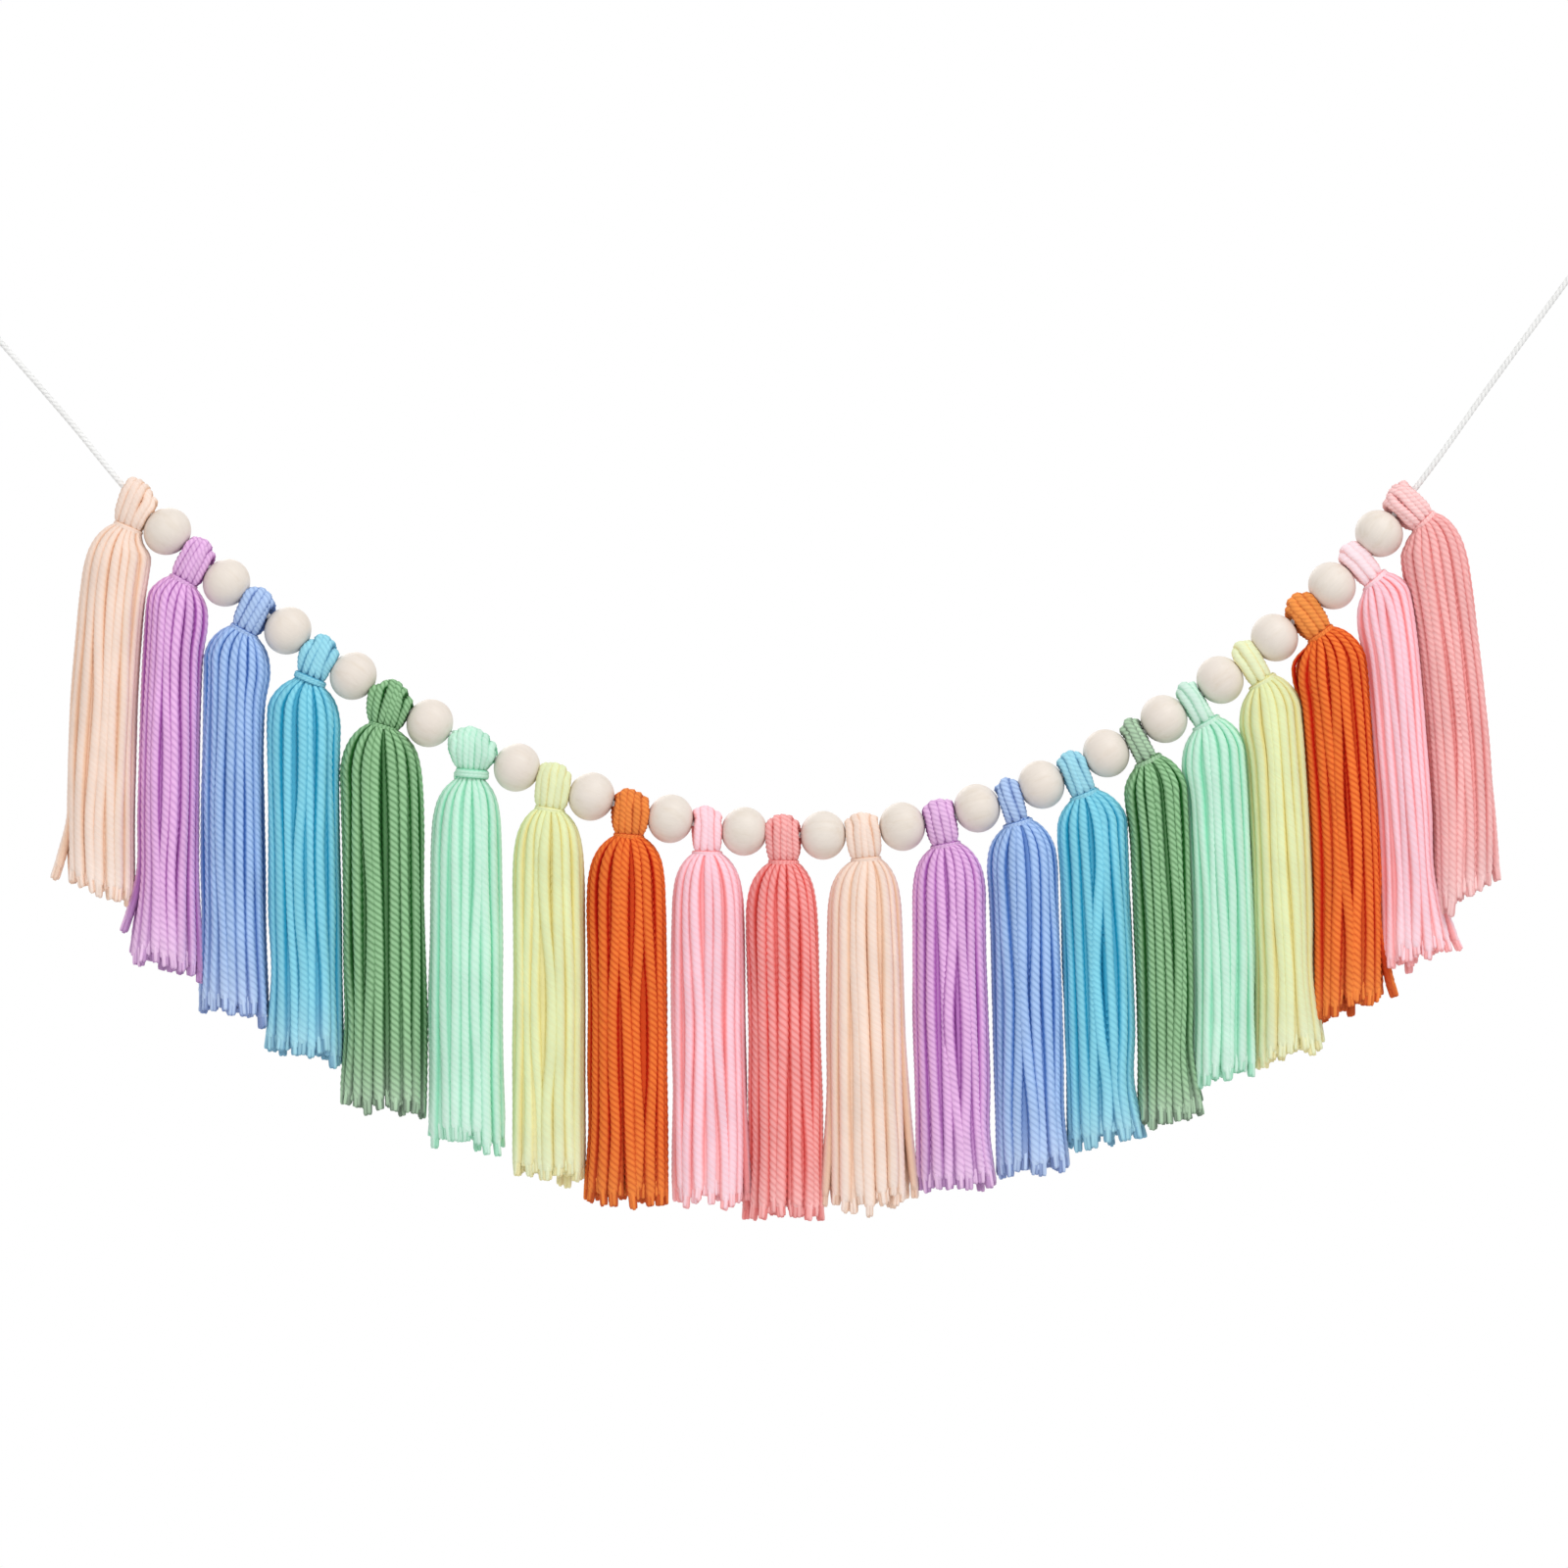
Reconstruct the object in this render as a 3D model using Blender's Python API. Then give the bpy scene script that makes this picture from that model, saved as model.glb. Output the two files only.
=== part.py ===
"""Yarn tassel garland: twenty tassels and nineteen wooden beads threaded on one hanging cord.

Metres, +Z up, +X to the right, seen from the front along +Y. The origin is the inside of the left
hanging loop, where its hook bears. The cord lies in the plane Y = 0 and everything else is placed
along it, by the length of cord that each head and bead takes up.
"""
import math
import random

import bmesh
import bpy
from mathutils import Matrix, Vector

# Cord: a thin twisted line, knotted into a hanging loop at each end
CORD_DIAMETER = 0.0020
CORD_RADIUS = CORD_DIAMETER / 2
CORD_STEP = 0.0145
CORD_BEVEL_RESOLUTION = 2
HOOK_TO_HOOK_WIDTH = 0.5455
LOOP_LENGTH = 0.0190
LOOP_WIDTH = 0.0090
LOOP_LEG_GAP = 0.0006
LOOP_STEPS = 10
KNOT_LENGTH = 0.0078
KNOT_WIDTH = 0.0060
KNOT_SEGMENTS = 8
KNOT_RINGS = 5
FREE_CORD_LEFT = 0.0772

# The hanging curve from knot to knot, as shares of the span between the two hooks
CORD_ROUTE_SHARES = (
    (0.0229, -0.0264),
    (0.0710, -0.0815),
    (0.1162, -0.1349),
    (0.1674, -0.1813),
    (0.2431, -0.2370),
    (0.3414, -0.2921),
    (0.4337, -0.3229),
    (0.5254, -0.3328),
    (0.6178, -0.3164),
    (0.6951, -0.2834),
    (0.7631, -0.2394),
    (0.8306, -0.1824),
    (0.8800, -0.1244),
    (0.9251, -0.0622),
    (0.9791, 0.0111),
)

# Clearances
SEAT_GAP = 0.0003
LANE_GAP = 0.0010
EYE_GAP = 0.0004
BEAD_CLEARANCE = 0.0008
CUT_OVERRUN = 0.0020

# Beads: turned wood, a little shorter along the bore than across it
BEAD_DIAMETER = 0.0160
BEAD_LENGTH = 0.0150
BEAD_BORE = 0.0032
BEAD_SEGMENTS = 14
BEAD_ARC_POINTS = 5
BEAD_SMOOTH_ANGLE = 50.0
BORE_LIP_SHARE = 1.3

# Tassels: a bundle of yarn folded over the cord, tied at the neck and cut level at the hem
TASSEL_COUNT = 20
RIDGES = 12
HEAD_WIDTH = 0.0102
HEAD_DEPTH = 0.0110
HEAD_RISE = 0.0066
NECK_WIDTH = 0.0078
NECK_DROP = 0.0092
TIE_HEIGHT = 0.0024
TIE_THICKNESS = 0.0009
TIE_EDGE_SHARE = 0.55
SKIRT_LENGTH = 0.1165
SKIRT_WIDTH = 0.0268
SKIRT_DEPTH = 0.0210
BEND_LENGTH = 0.0030
RIDGE_DEPTH = 0.0012
HEM_RAGGEDNESS = 0.0045
HEM_NOTCH = 0.0015
EYE_SEGMENTS = 6
EYE_LEAN_ASIDE = 27.0
EYE_LEAN_UP = 16.0
HEM_SEED = 7

# Rings of the head: place below the cord as a share of the rise or the drop, width share, depth share
HEAD_RING_SHARES = (
    (-0.82, 0.62, 0.58),
    (-0.36, 0.94, 0.93),
    (0.34, 1.00, 1.00),
)
# Rings of the skirt: place below the neck as a share of the skirt's length, share of its full width
SKIRT_RING_SHARES = (
    (0.028, 0.70),
    (0.085, 0.86),
    (0.240, 0.93),
)
# Each head's width along the cord as a share of the common one, left to right
HEAD_WIDTH_SHARES = (
    1.08, 0.98, 0.96, 1.02, 1.35, 1.60, 1.03, 1.10, 0.87, 1.00,
    1.02, 0.94, 0.66, 0.78, 0.62, 0.66, 0.68, 0.95, 0.72, 1.00,
)
# How far each head turns out of plumb as a share of the cord's slope there, left to right
HEAD_TILT_SHARES = (
    0.47, 0.70, 0.72, 0.62, 0.50, 0.10, 0.39, 0.23, 0.00, 0.00,
    1.00, 0.88, 0.88, 0.88, 0.88, 0.88, 0.88, 0.88, 0.88, 0.88,
)
# Each skirt's length as a share of the common one, left to right
SKIRT_LENGTH_SHARES = (
    1.02, 1.02, 1.05, 1.04, 1.05, 0.98, 1.01, 1.00, 0.99, 0.98,
    0.98, 0.96, 0.96, 0.97, 1.00, 0.98, 1.01, 1.03, 1.01, 1.02,
)
# How far each skirt leans out of plumb, in degrees, left to right
SKIRT_LEANS = (
    -4.8, -2.2, -1.0, 0.4, 0.6, -0.3, 0.5, 0.0, 0.8, 1.0,
    1.1, 1.6, 1.9, 2.9, 3.2, 2.6, 4.6, 4.3, 6.4, 7.4,
)

# Colours, linear red, green and blue
YARN_COLOURS = (
    ("peach", (0.93, 0.68, 0.50)),
    ("orchid", (0.58, 0.26, 0.66)),
    ("periwinkle", (0.24, 0.36, 0.75)),
    ("sky", (0.13, 0.50, 0.68)),
    ("sage", (0.13, 0.32, 0.15)),
    ("mint", (0.34, 0.83, 0.58)),
    ("lime", (0.76, 0.90, 0.33)),
    ("rust", (0.62, 0.13, 0.03)),
    ("pink", (0.95, 0.42, 0.52)),
    ("coral", (0.80, 0.21, 0.21)),
)
WOOD_COLOUR = (0.82, 0.74, 0.64)
CORD_COLOUR = (0.86, 0.86, 0.84)


def clear_scene():
    for obj in list(bpy.data.objects):
        bpy.data.objects.remove(obj, do_unlink=True)


def make_material(name, colour, roughness):
    material = bpy.data.materials.new(name)
    material.use_nodes = True
    shader = material.node_tree.nodes["Principled BSDF"]
    shader.inputs["Base Color"].default_value = (*colour, 1.0)
    shader.inputs["Roughness"].default_value = roughness
    shader.inputs["Metallic"].default_value = 0.0
    return material


def add_object(name, data, parent=None, location=(0.0, 0.0, 0.0)):
    obj = bpy.data.objects.new(name, data)
    obj.location = location
    obj.parent = parent
    bpy.context.scene.collection.objects.link(obj)
    return obj


def hide_operand(obj):
    obj.hide_render = True
    obj.display_type = "WIRE"


def add_boolean(obj, operand, operation):
    modifier = obj.modifiers.new(operand.name, "BOOLEAN")
    modifier.operation = operation
    modifier.object = operand
    modifier.solver = "EXACT"


def finish_mesh(bm, name, material, smooth_angle=None):
    bmesh.ops.recalc_face_normals(bm, faces=bm.faces[:])
    mesh = bpy.data.meshes.new(name)
    bm.to_mesh(mesh)
    bm.free()
    mesh.materials.append(material)
    if smooth_angle is not None:
        mesh.shade_smooth()
        mesh.set_sharp_from_angle(angle=math.radians(smooth_angle))
    return mesh


class HangingCurve:
    """A smooth curve in the plane Y = 0 through the route's points, read by its length."""

    STEPS_PER_SPAN = 40

    def __init__(self, points):
        self.points = [Vector(p) for p in points]
        self.samples = [self.points[0].copy()]
        tangents = self.tangents()
        for i in range(len(self.points) - 1):
            for k in range(1, self.STEPS_PER_SPAN + 1):
                share = k / self.STEPS_PER_SPAN
                self.samples.append(self.blend(i, share, tangents))
        self.lengths = [0.0]
        for a, b in zip(self.samples, self.samples[1:]):
            self.lengths.append(self.lengths[-1] + (b - a).length)

    def tangents(self):
        p = self.points
        result = [(p[1] - p[0]).normalized()]
        for a, b, c in zip(p, p[1:], p[2:]):
            before, after = (b - a).length, (c - b).length
            mean = (b - a) / before * after + (c - b) / after * before
            result.append(mean / (before + after))
        result.append((p[-1] - p[-2]).normalized())
        return result

    def blend(self, i, u, tangents):
        a, b = self.points[i], self.points[i + 1]
        reach = (b - a).length
        return (
            a * (2 * u**3 - 3 * u**2 + 1)
            + tangents[i] * (reach * (u**3 - 2 * u**2 + u))
            + b * (3 * u**2 - 2 * u**3)
            + tangents[i + 1] * (reach * (u**3 - u**2))
        )

    def length(self):
        return self.lengths[-1]

    def at(self, distance):
        """The point and the direction at a length of cord from the curve's start."""
        for i in range(len(self.lengths) - 1):
            if distance <= self.lengths[i + 1]:
                break
        a, b = self.samples[i], self.samples[i + 1]
        share = (distance - self.lengths[i]) / (self.lengths[i + 1] - self.lengths[i])
        return a.lerp(b, share), (b - a).normalized()


def hanging_curve():
    span = HOOK_TO_HOOK_WIDTH
    return HangingCurve([(x * span, 0.0, z * span) for x, z in CORD_ROUTE_SHARES])


def head_width(i):
    return HEAD_WIDTH * HEAD_WIDTH_SHARES[i]


def threading():
    """Lengths of cord at which the heads and the beads sit, each against the next."""
    heads = [FREE_CORD_LEFT]
    beads = []
    for i in range(TASSEL_COUNT - 1):
        beads.append(heads[-1] + head_width(i) / 2 + SEAT_GAP + BEAD_LENGTH / 2)
        heads.append(beads[-1] + BEAD_LENGTH / 2 + SEAT_GAP + head_width(i + 1) / 2)
    return heads, beads


def tube_mesh(name, points, radius):
    """A round tube with closed ends along the points, as a mesh."""
    curve = bpy.data.curves.new(name, "CURVE")
    curve.dimensions = "3D"
    curve.bevel_depth = radius
    curve.bevel_resolution = CORD_BEVEL_RESOLUTION
    curve.use_fill_caps = True
    spline = curve.splines.new("POLY")
    spline.points.add(len(points) - 1)
    for target, point in zip(spline.points, points):
        target.co = (*point, 1.0)
    guide = add_object(name + "_guide", curve)
    mesh = bpy.data.meshes.new_from_object(guide)
    bpy.data.objects.remove(guide, do_unlink=True)
    return mesh


def loop_points(knot, outward):
    """A teardrop from the knot to the hook and back, its two legs side by side in the knot."""
    side = Vector((-outward.z, 0.0, outward.x))
    leg = CORD_RADIUS + LOOP_LEG_GAP / 2
    start = LOOP_LEG_GAP / 2
    reach = LOOP_LENGTH + CORD_RADIUS
    points = []
    for k in range(LOOP_STEPS + 1):
        turn = math.pi * k / LOOP_STEPS
        along = start + (reach - start) * math.sin(turn)
        across = LOOP_WIDTH / 2 * math.sin(2 * turn) + leg * math.cos(turn)
        points.append(knot + outward * along + side * across)
    return points


def knot_mesh(name, centre, outward):
    bm = bmesh.new()
    bmesh.ops.create_uvsphere(
        bm, u_segments=KNOT_SEGMENTS, v_segments=KNOT_RINGS, radius=1.0
    )
    size = Matrix.Diagonal((KNOT_WIDTH / 2, KNOT_WIDTH / 2, KNOT_LENGTH / 2, 1.0))
    turn = outward.to_track_quat("Z", "Y").to_matrix().to_4x4()
    bm.transform(Matrix.Translation(centre) @ turn @ size)
    mesh = bpy.data.meshes.new(name)
    bm.to_mesh(mesh)
    bm.free()
    return mesh


def build_cord(curve, material, parent):
    """One unbroken line: the strung stretch, the free ends, and a knotted loop at each end."""
    count = round(curve.length() / CORD_STEP)
    inset = LOOP_LEG_GAP / 2
    run = curve.length() - 2 * inset
    points = [curve.at(inset + run * k / count)[0] for k in range(count + 1)]
    mesh = tube_mesh("cord", points, CORD_RADIUS)
    mesh.materials.append(material)
    mesh.shade_smooth()
    cord = add_object("cord", mesh, parent)
    ends = (("left", 0.0, -1.0), ("right", curve.length(), 1.0))
    for side, distance, sign in ends:
        knot, direction = curve.at(distance)
        outward = direction * sign
        lump = add_object(side + "_knot_form", knot_mesh(side + "_knot_form", knot, outward))
        loop = tube_mesh(side + "_loop_form", loop_points(knot, outward), CORD_RADIUS)
        loop_form = add_object(side + "_loop_form", loop)
        for form in (lump, loop_form):
            hide_operand(form)
            add_boolean(cord, form, "UNION")
    return cord


def bead_profile():
    """Half outline of a bead, as (along the bore, out from it), closed through the bore wall."""
    bore = BEAD_BORE / 2
    half = BEAD_LENGTH / 2
    swell = BEAD_DIAMETER / 2
    edge = math.asin(bore * BORE_LIP_SHARE / swell)
    points = [(-half, bore)]
    for k in range(BEAD_ARC_POINTS):
        angle = edge + (math.pi - 2 * edge) * k / (BEAD_ARC_POINTS - 1)
        points.append((-half * math.cos(angle), swell * math.sin(angle)))
    points.append((half, bore))
    return points


def bead_mesh(material):
    """The outline spun round the bore, which runs along X."""
    bm = bmesh.new()
    verts = [bm.verts.new((along, 0.0, out)) for along, out in bead_profile()]
    edges = [bm.edges.new(pair) for pair in zip(verts, verts[1:] + verts[:1])]
    bmesh.ops.spin(
        bm,
        geom=verts + edges,
        axis=(1.0, 0.0, 0.0),
        cent=(0.0, 0.0, 0.0),
        angle=2 * math.pi,
        steps=BEAD_SEGMENTS,
        use_merge=True,
    )
    return finish_mesh(bm, "bead", material, smooth_angle=BEAD_SMOOTH_ANGLE)


def build_beads(curve, places, material, parent):
    shared = bead_mesh(material)
    for number, distance in enumerate(places, start=1):
        centre, direction = curve.at(distance)
        bead = add_object(f"bead_{number:02d}", shared, parent, centre)
        bead.rotation_euler = (0.0, -math.atan2(direction.z, direction.x), 0.0)


class TasselForm:
    """Where one tassel's rings lie. Places are relative to the cord's middle in its fold."""

    def __init__(self, i, point, direction, beads):
        self.index = i
        self.point = point
        self.beads = beads
        self.slope = math.atan2(direction.z, direction.x)
        self.tilt = HEAD_TILT_SHARES[i] * self.slope
        self.down = Vector((math.sin(self.tilt), 0.0, -math.cos(self.tilt)))
        self.across = Vector((math.cos(self.tilt), 0.0, math.sin(self.tilt)))
        self.neck = self.down * NECK_DROP
        self.lean = math.radians(SKIRT_LEANS[i])
        self.half_head = head_width(i) / 2
        self.skirt = SKIRT_LENGTH * SKIRT_LENGTH_SHARES[i]

    def skirt_centre(self, drop):
        """The bundle leaves the neck at the head's tilt and soon hangs at its own lean."""
        kick = (math.tan(self.tilt) - math.tan(self.lean)) * BEND_LENGTH
        shift = kick * (1 - math.exp(-drop / BEND_LENGTH)) + math.tan(self.lean) * drop
        return self.neck + Vector((shift, 0.0, -drop))

    def skirt_across(self, drop):
        fade = math.exp(-drop / BEND_LENGTH)
        slope = (math.tan(self.tilt) - math.tan(self.lean)) * fade + math.tan(self.lean)
        angle = math.atan(slope)
        return Vector((math.cos(angle), 0.0, math.sin(angle)))

    def centre_at_height(self, z):
        """World X of the skirt's middle at a world height, or of the neck above it."""
        drop = max(self.point.z + self.neck.z - z, 0.0)
        return self.point.x + self.skirt_centre(drop).x


def ring_points(centre, across, halves, half_depth, count, groove=0.0):
    """A ring round a bundle, with its own half width on each side and every second point let in."""
    left, right = halves
    points = []
    for k in range(count):
        angle = 2 * math.pi * k / count
        c, s = math.cos(angle), math.sin(angle)
        half_width = right if c > 0 else left
        inset = groove if k % 2 else 0.0
        x = c * (half_width - inset)
        y = s * (half_depth - inset)
        points.append(centre + across * x + Vector((0.0, y, 0.0)))
    return points


def bead_room(form, centre, side, room):
    """How far a ring may reach from its middle towards one side before it nears a bead."""
    for bead, direction in form.beads:
        half_length = BEAD_LENGTH / 2 + BEAD_CLEARANCE
        half_height = BEAD_DIAMETER / 2 + BEAD_CLEARANCE
        upward = Vector((-direction.z, 0.0, direction.x))
        start = form.point + centre - bead
        start = Vector((start.dot(direction) / half_length, start.dot(upward) / half_height))
        step = Vector((side.dot(direction) / half_length, side.dot(upward) / half_height))
        middle = start.dot(step)
        spread = middle**2 - step.length_squared * (start.length_squared - 1)
        if spread > 0 and middle < 0:
            room = min(room, (-middle - math.sqrt(spread)) / step.length_squared)
    return room


def clear_halves(form, centre, across, half_width):
    return [bead_room(form, centre, across * side, half_width) for side in (-1, 1)]


def lane_halves(forms, i, centre, half_width):
    """Half widths that keep a skirt in its lane, half way to each neighbour."""
    height = forms[i].point.z + centre.z
    middle = forms[i].point.x + centre.x
    halves = []
    for neighbour in (i - 1, i + 1):
        room = half_width
        if 0 <= neighbour < len(forms):
            pitch = abs(forms[neighbour].centre_at_height(height) - middle)
            room = min(half_width, (pitch - LANE_GAP) / 2)
        halves.append(room)
    return halves


def neck_ring(form, place, grow=0.0):
    """A ring round the neck, which leaves room for the tie between itself and the beads."""
    half = NECK_WIDTH / 2
    tie = SEAT_GAP + TIE_THICKNESS
    centre = form.neck + form.down * place
    halves = clear_halves(form, centre, form.across, half + tie)
    return ring_points(centre, form.across, [h - tie + grow for h in halves], half + grow, RIDGES)


def head_rings(form):
    rings = []
    for place, width_share, depth_share in HEAD_RING_SHARES:
        centre = form.down * (place * (HEAD_RISE if place < 0 else NECK_DROP))
        half = form.half_head * width_share
        depth = HEAD_DEPTH / 2 * depth_share
        halves = clear_halves(form, centre, form.across, half)
        rings.append(ring_points(centre, form.across, halves, depth, RIDGES))
    edge = TIE_HEIGHT / 2 + SEAT_GAP
    rings.append(neck_ring(form, -edge))
    rings.append(neck_ring(form, edge))
    return rings


def skirt_ring(forms, i, drop, share):
    """One grooved ring of the skirt, a drop below the neck, at a share of its full size."""
    centre = forms[i].skirt_centre(drop)
    across = forms[i].skirt_across(drop)
    halves = lane_halves(forms, i, centre, SKIRT_WIDTH / 2 * share)
    clear = clear_halves(forms[i], centre, across, SKIRT_WIDTH / 2)
    halves = [min(pair) for pair in zip(halves, clear)]
    return ring_points(centre, across, halves, SKIRT_DEPTH / 2 * share, 2 * RIDGES, RIDGE_DEPTH)


def skirt_rings(forms, i, chance):
    """The skirt's rings from the neck down, the last with its cut ends at uneven heights."""
    form = forms[i]
    rings = []
    for place, share in SKIRT_RING_SHARES:
        rings.append(skirt_ring(forms, i, form.skirt * place + TIE_HEIGHT / 2, share))
    hem = skirt_ring(forms, i, form.skirt, 1.0)
    down = Vector((math.sin(form.lean), 0.0, -math.cos(form.lean)))
    for k, point in enumerate(hem):
        if k % 2:
            point -= down * HEM_NOTCH
        else:
            point += down * (HEM_RAGGEDNESS * (chance.random() - 0.5))
    rings.append(hem)
    return rings


def bridge(bm, upper, lower):
    """Joins two rings of points, where the lower may have twice as many."""
    count = len(upper)
    double = len(lower) == 2 * count
    for k in range(count):
        after = (k + 1) % count
        if double:
            left, mid, right = 2 * k, 2 * k + 1, (2 * k + 2) % len(lower)
            bm.faces.new((upper[k], lower[left], lower[mid]))
            bm.faces.new((upper[k], lower[mid], upper[after]))
            bm.faces.new((upper[after], lower[mid], lower[right]))
        else:
            bm.faces.new((upper[k], lower[k], lower[after], upper[after]))


def cap(bm, ring, centre):
    middle = bm.verts.new(centre)
    for a, b in zip(ring, ring[1:] + ring[:1]):
        bm.faces.new((a, b, middle))


def tassel_mesh(forms, i, material, chance):
    form = forms[i]
    bm = bmesh.new()
    rings = head_rings(form) + skirt_rings(forms, i, chance)
    verts = [[bm.verts.new(point) for point in ring] for ring in rings]
    for upper, lower in zip(verts, verts[1:]):
        bridge(bm, upper, lower)
    cap(bm, verts[0], form.down * -HEAD_RISE)
    cap(bm, verts[-1], form.skirt_centre(form.skirt - HEM_NOTCH))
    return finish_mesh(bm, f"tassel_{i + 1:02d}", material)


def eye_cutter(form, parent):
    """The eye of the fold: tight on the cord in the middle, opening towards its two mouths."""
    waist = CORD_RADIUS + EYE_GAP
    reach = form.half_head + CUT_OVERRUN
    aside = waist + reach * math.tan(math.radians(EYE_LEAN_ASIDE))
    rise = waist + reach * math.tan(math.radians(EYE_LEAN_UP))
    bm = bmesh.new()
    loops = []
    for along, half_y, half_z in ((-reach, aside, rise), (0.0, waist, waist), (reach, aside, rise)):
        loop = []
        for k in range(EYE_SEGMENTS):
            angle = 2 * math.pi * k / EYE_SEGMENTS
            loop.append(bm.verts.new((along, half_y * math.cos(angle), half_z * math.sin(angle))))
        loops.append(loop)
    for upper, lower in zip(loops, loops[1:]):
        bridge(bm, upper, lower)
    bm.faces.new(loops[0])
    bm.faces.new(loops[-1])
    bm.transform(Matrix.Rotation(-form.slope, 4, "Y"))
    bmesh.ops.recalc_face_normals(bm, faces=bm.faces[:])
    name = f"eye_form_{form.index + 1:02d}"
    mesh = bpy.data.meshes.new(name)
    bm.to_mesh(mesh)
    bm.free()
    cutter = add_object(name, mesh, parent)
    hide_operand(cutter)
    return cutter


def tie_mesh(form, material):
    """A band of the same yarn wound round the neck, thinner at its two edges."""
    inner = TIE_HEIGHT / 2
    outer = inner * TIE_EDGE_SHARE
    far = SEAT_GAP + TIE_THICKNESS
    corners = ((-inner, SEAT_GAP), (-outer, far), (outer, far), (inner, SEAT_GAP))
    bm = bmesh.new()
    loops = []
    for place, grow in corners:
        loops.append([bm.verts.new(point) for point in neck_ring(form, place, grow)])
    for upper, lower in zip(loops, loops[1:] + loops[:1]):
        bridge(bm, upper, lower)
    return finish_mesh(bm, f"neck_tie_{form.index + 1:02d}", material)


def build_tassels(curve, places, bead_places, materials, parent):
    chance = random.Random(HEM_SEED)
    beads = [curve.at(distance) for distance in bead_places]
    forms = [
        TasselForm(i, *curve.at(distance), beads[max(i - 1, 0) : i + 1])
        for i, distance in enumerate(places)
    ]
    for i, form in enumerate(forms):
        material = materials[i % len(materials)]
        mesh = tassel_mesh(forms, i, material, chance)
        tassel = add_object(f"tassel_{i + 1:02d}", mesh, parent, form.point)
        add_boolean(tassel, eye_cutter(form, tassel), "DIFFERENCE")
        add_object(f"neck_tie_{i + 1:02d}", tie_mesh(form, material), tassel)


def main():
    clear_scene()
    wood = make_material("natural_wood", WOOD_COLOUR, 0.55)
    line = make_material("white_cord", CORD_COLOUR, 0.8)
    yarns = [make_material(name + "_yarn", colour, 0.9) for name, colour in YARN_COLOURS]
    garland = add_object("garland", None)
    curve = hanging_curve()
    heads, beads = threading()
    build_cord(curve, line, garland)
    build_beads(curve, beads, wood, garland)
    build_tassels(curve, heads, beads, yarns, garland)


main()
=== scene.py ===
"""Yarn tassel garland: yarn, turned beads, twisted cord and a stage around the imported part."""

import math
import random

import bmesh
import bpy
import numpy as np
from bpy.props import FloatProperty, FloatVectorProperty, IntProperty, PointerProperty
from mathutils import Matrix, Vector


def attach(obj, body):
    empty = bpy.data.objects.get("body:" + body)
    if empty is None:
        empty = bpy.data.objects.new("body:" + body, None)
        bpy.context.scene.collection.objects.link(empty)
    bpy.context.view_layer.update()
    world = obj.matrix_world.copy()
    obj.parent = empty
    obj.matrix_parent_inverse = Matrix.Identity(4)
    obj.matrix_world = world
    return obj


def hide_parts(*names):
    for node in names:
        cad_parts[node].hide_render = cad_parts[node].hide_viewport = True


bl_info = {
    "name": "Yarn tassel garland",
    "version": (1, 0, 0),
    "blender": (4, 5, 0),
    "location": "3D View > Sidebar > Garland",
    "description": "Dresses the garland's frame in plied yarn, turned beads and twisted cord",
    "category": "Object",
}

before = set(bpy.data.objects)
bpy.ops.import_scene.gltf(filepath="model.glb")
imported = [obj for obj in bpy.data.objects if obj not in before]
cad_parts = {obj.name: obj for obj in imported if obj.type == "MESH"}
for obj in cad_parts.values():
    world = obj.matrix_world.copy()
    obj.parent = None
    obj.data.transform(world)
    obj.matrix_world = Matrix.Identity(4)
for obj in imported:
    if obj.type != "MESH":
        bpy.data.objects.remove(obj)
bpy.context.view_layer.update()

# The cord's route from knot to knot, in the part's own frame
ROUTE = (
    (0.01249, -0.01440), (0.03873, -0.04446), (0.06339, -0.07359), (0.09132, -0.09890),
    (0.13261, -0.12928), (0.18623, -0.15934), (0.23658, -0.17614), (0.28661, -0.18154),
    (0.33701, -0.17260), (0.37918, -0.15459), (0.41627, -0.13059), (0.45309, -0.09950),
    (0.48004, -0.06786), (0.50464, -0.03393), (0.53410, 0.00606),
)
CORD_WIDTH = 0.0020
LOOP_LENGTH = 0.0190
LOOP_WIDTH = 0.0090
LOOP_LEG_GAP = 0.0006
KNOT_LENGTH = 0.0078
FREE_CORD_LEFT = 0.0772
SEAT_GAP = 0.0003

BEAD_DIAMETER = 0.0160
BEAD_LENGTH = 0.0150
BEAD_BORE = 0.0032

HEAD_WIDTH = 0.0102
HEAD_DEPTH = 0.0110
HEAD_RISE = 0.0066
NECK_WIDTH = 0.0078
NECK_DROP = 0.0092
SKIRT_LENGTH = 0.1165
SKIRT_WIDTH = 0.0268
SKIRT_DEPTH = 0.0210
BEND_LENGTH = 0.0042

TASSELS = 20
HEAD_WIDTH_SHARES = (
    1.08, 0.98, 0.96, 1.02, 1.35, 1.60, 1.03, 1.10, 0.87, 1.00,
    1.02, 0.94, 0.66, 0.78, 0.62, 0.66, 0.68, 0.95, 0.72, 1.00,
)
SKIRT_LENGTH_SHARES = (
    1.02, 1.02, 1.05, 1.04, 1.05, 0.98, 1.01, 1.00, 0.99, 0.98,
    0.98, 0.96, 0.96, 0.97, 1.00, 0.98, 1.01, 1.03, 1.01, 1.02,
)
SKIRT_LEANS = (
    -4.8, -2.2, -1.0, 0.4, 0.6, -0.3, 0.5, 0.0, 0.8, 1.0,
    1.1, 1.6, 1.9, 2.9, 3.2, 2.6, 4.6, 4.3, 6.4, 7.4,
)
HEAD_TILT_SHARES = (
    0.47, 0.70, 0.72, 0.62, 0.50, 0.10, 0.39, 0.23, 0.00, 0.00,
    1.00, 0.88, 0.88, 0.88, 0.88, 0.88, 0.88, 0.88, 0.88, 0.88,
)
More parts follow.
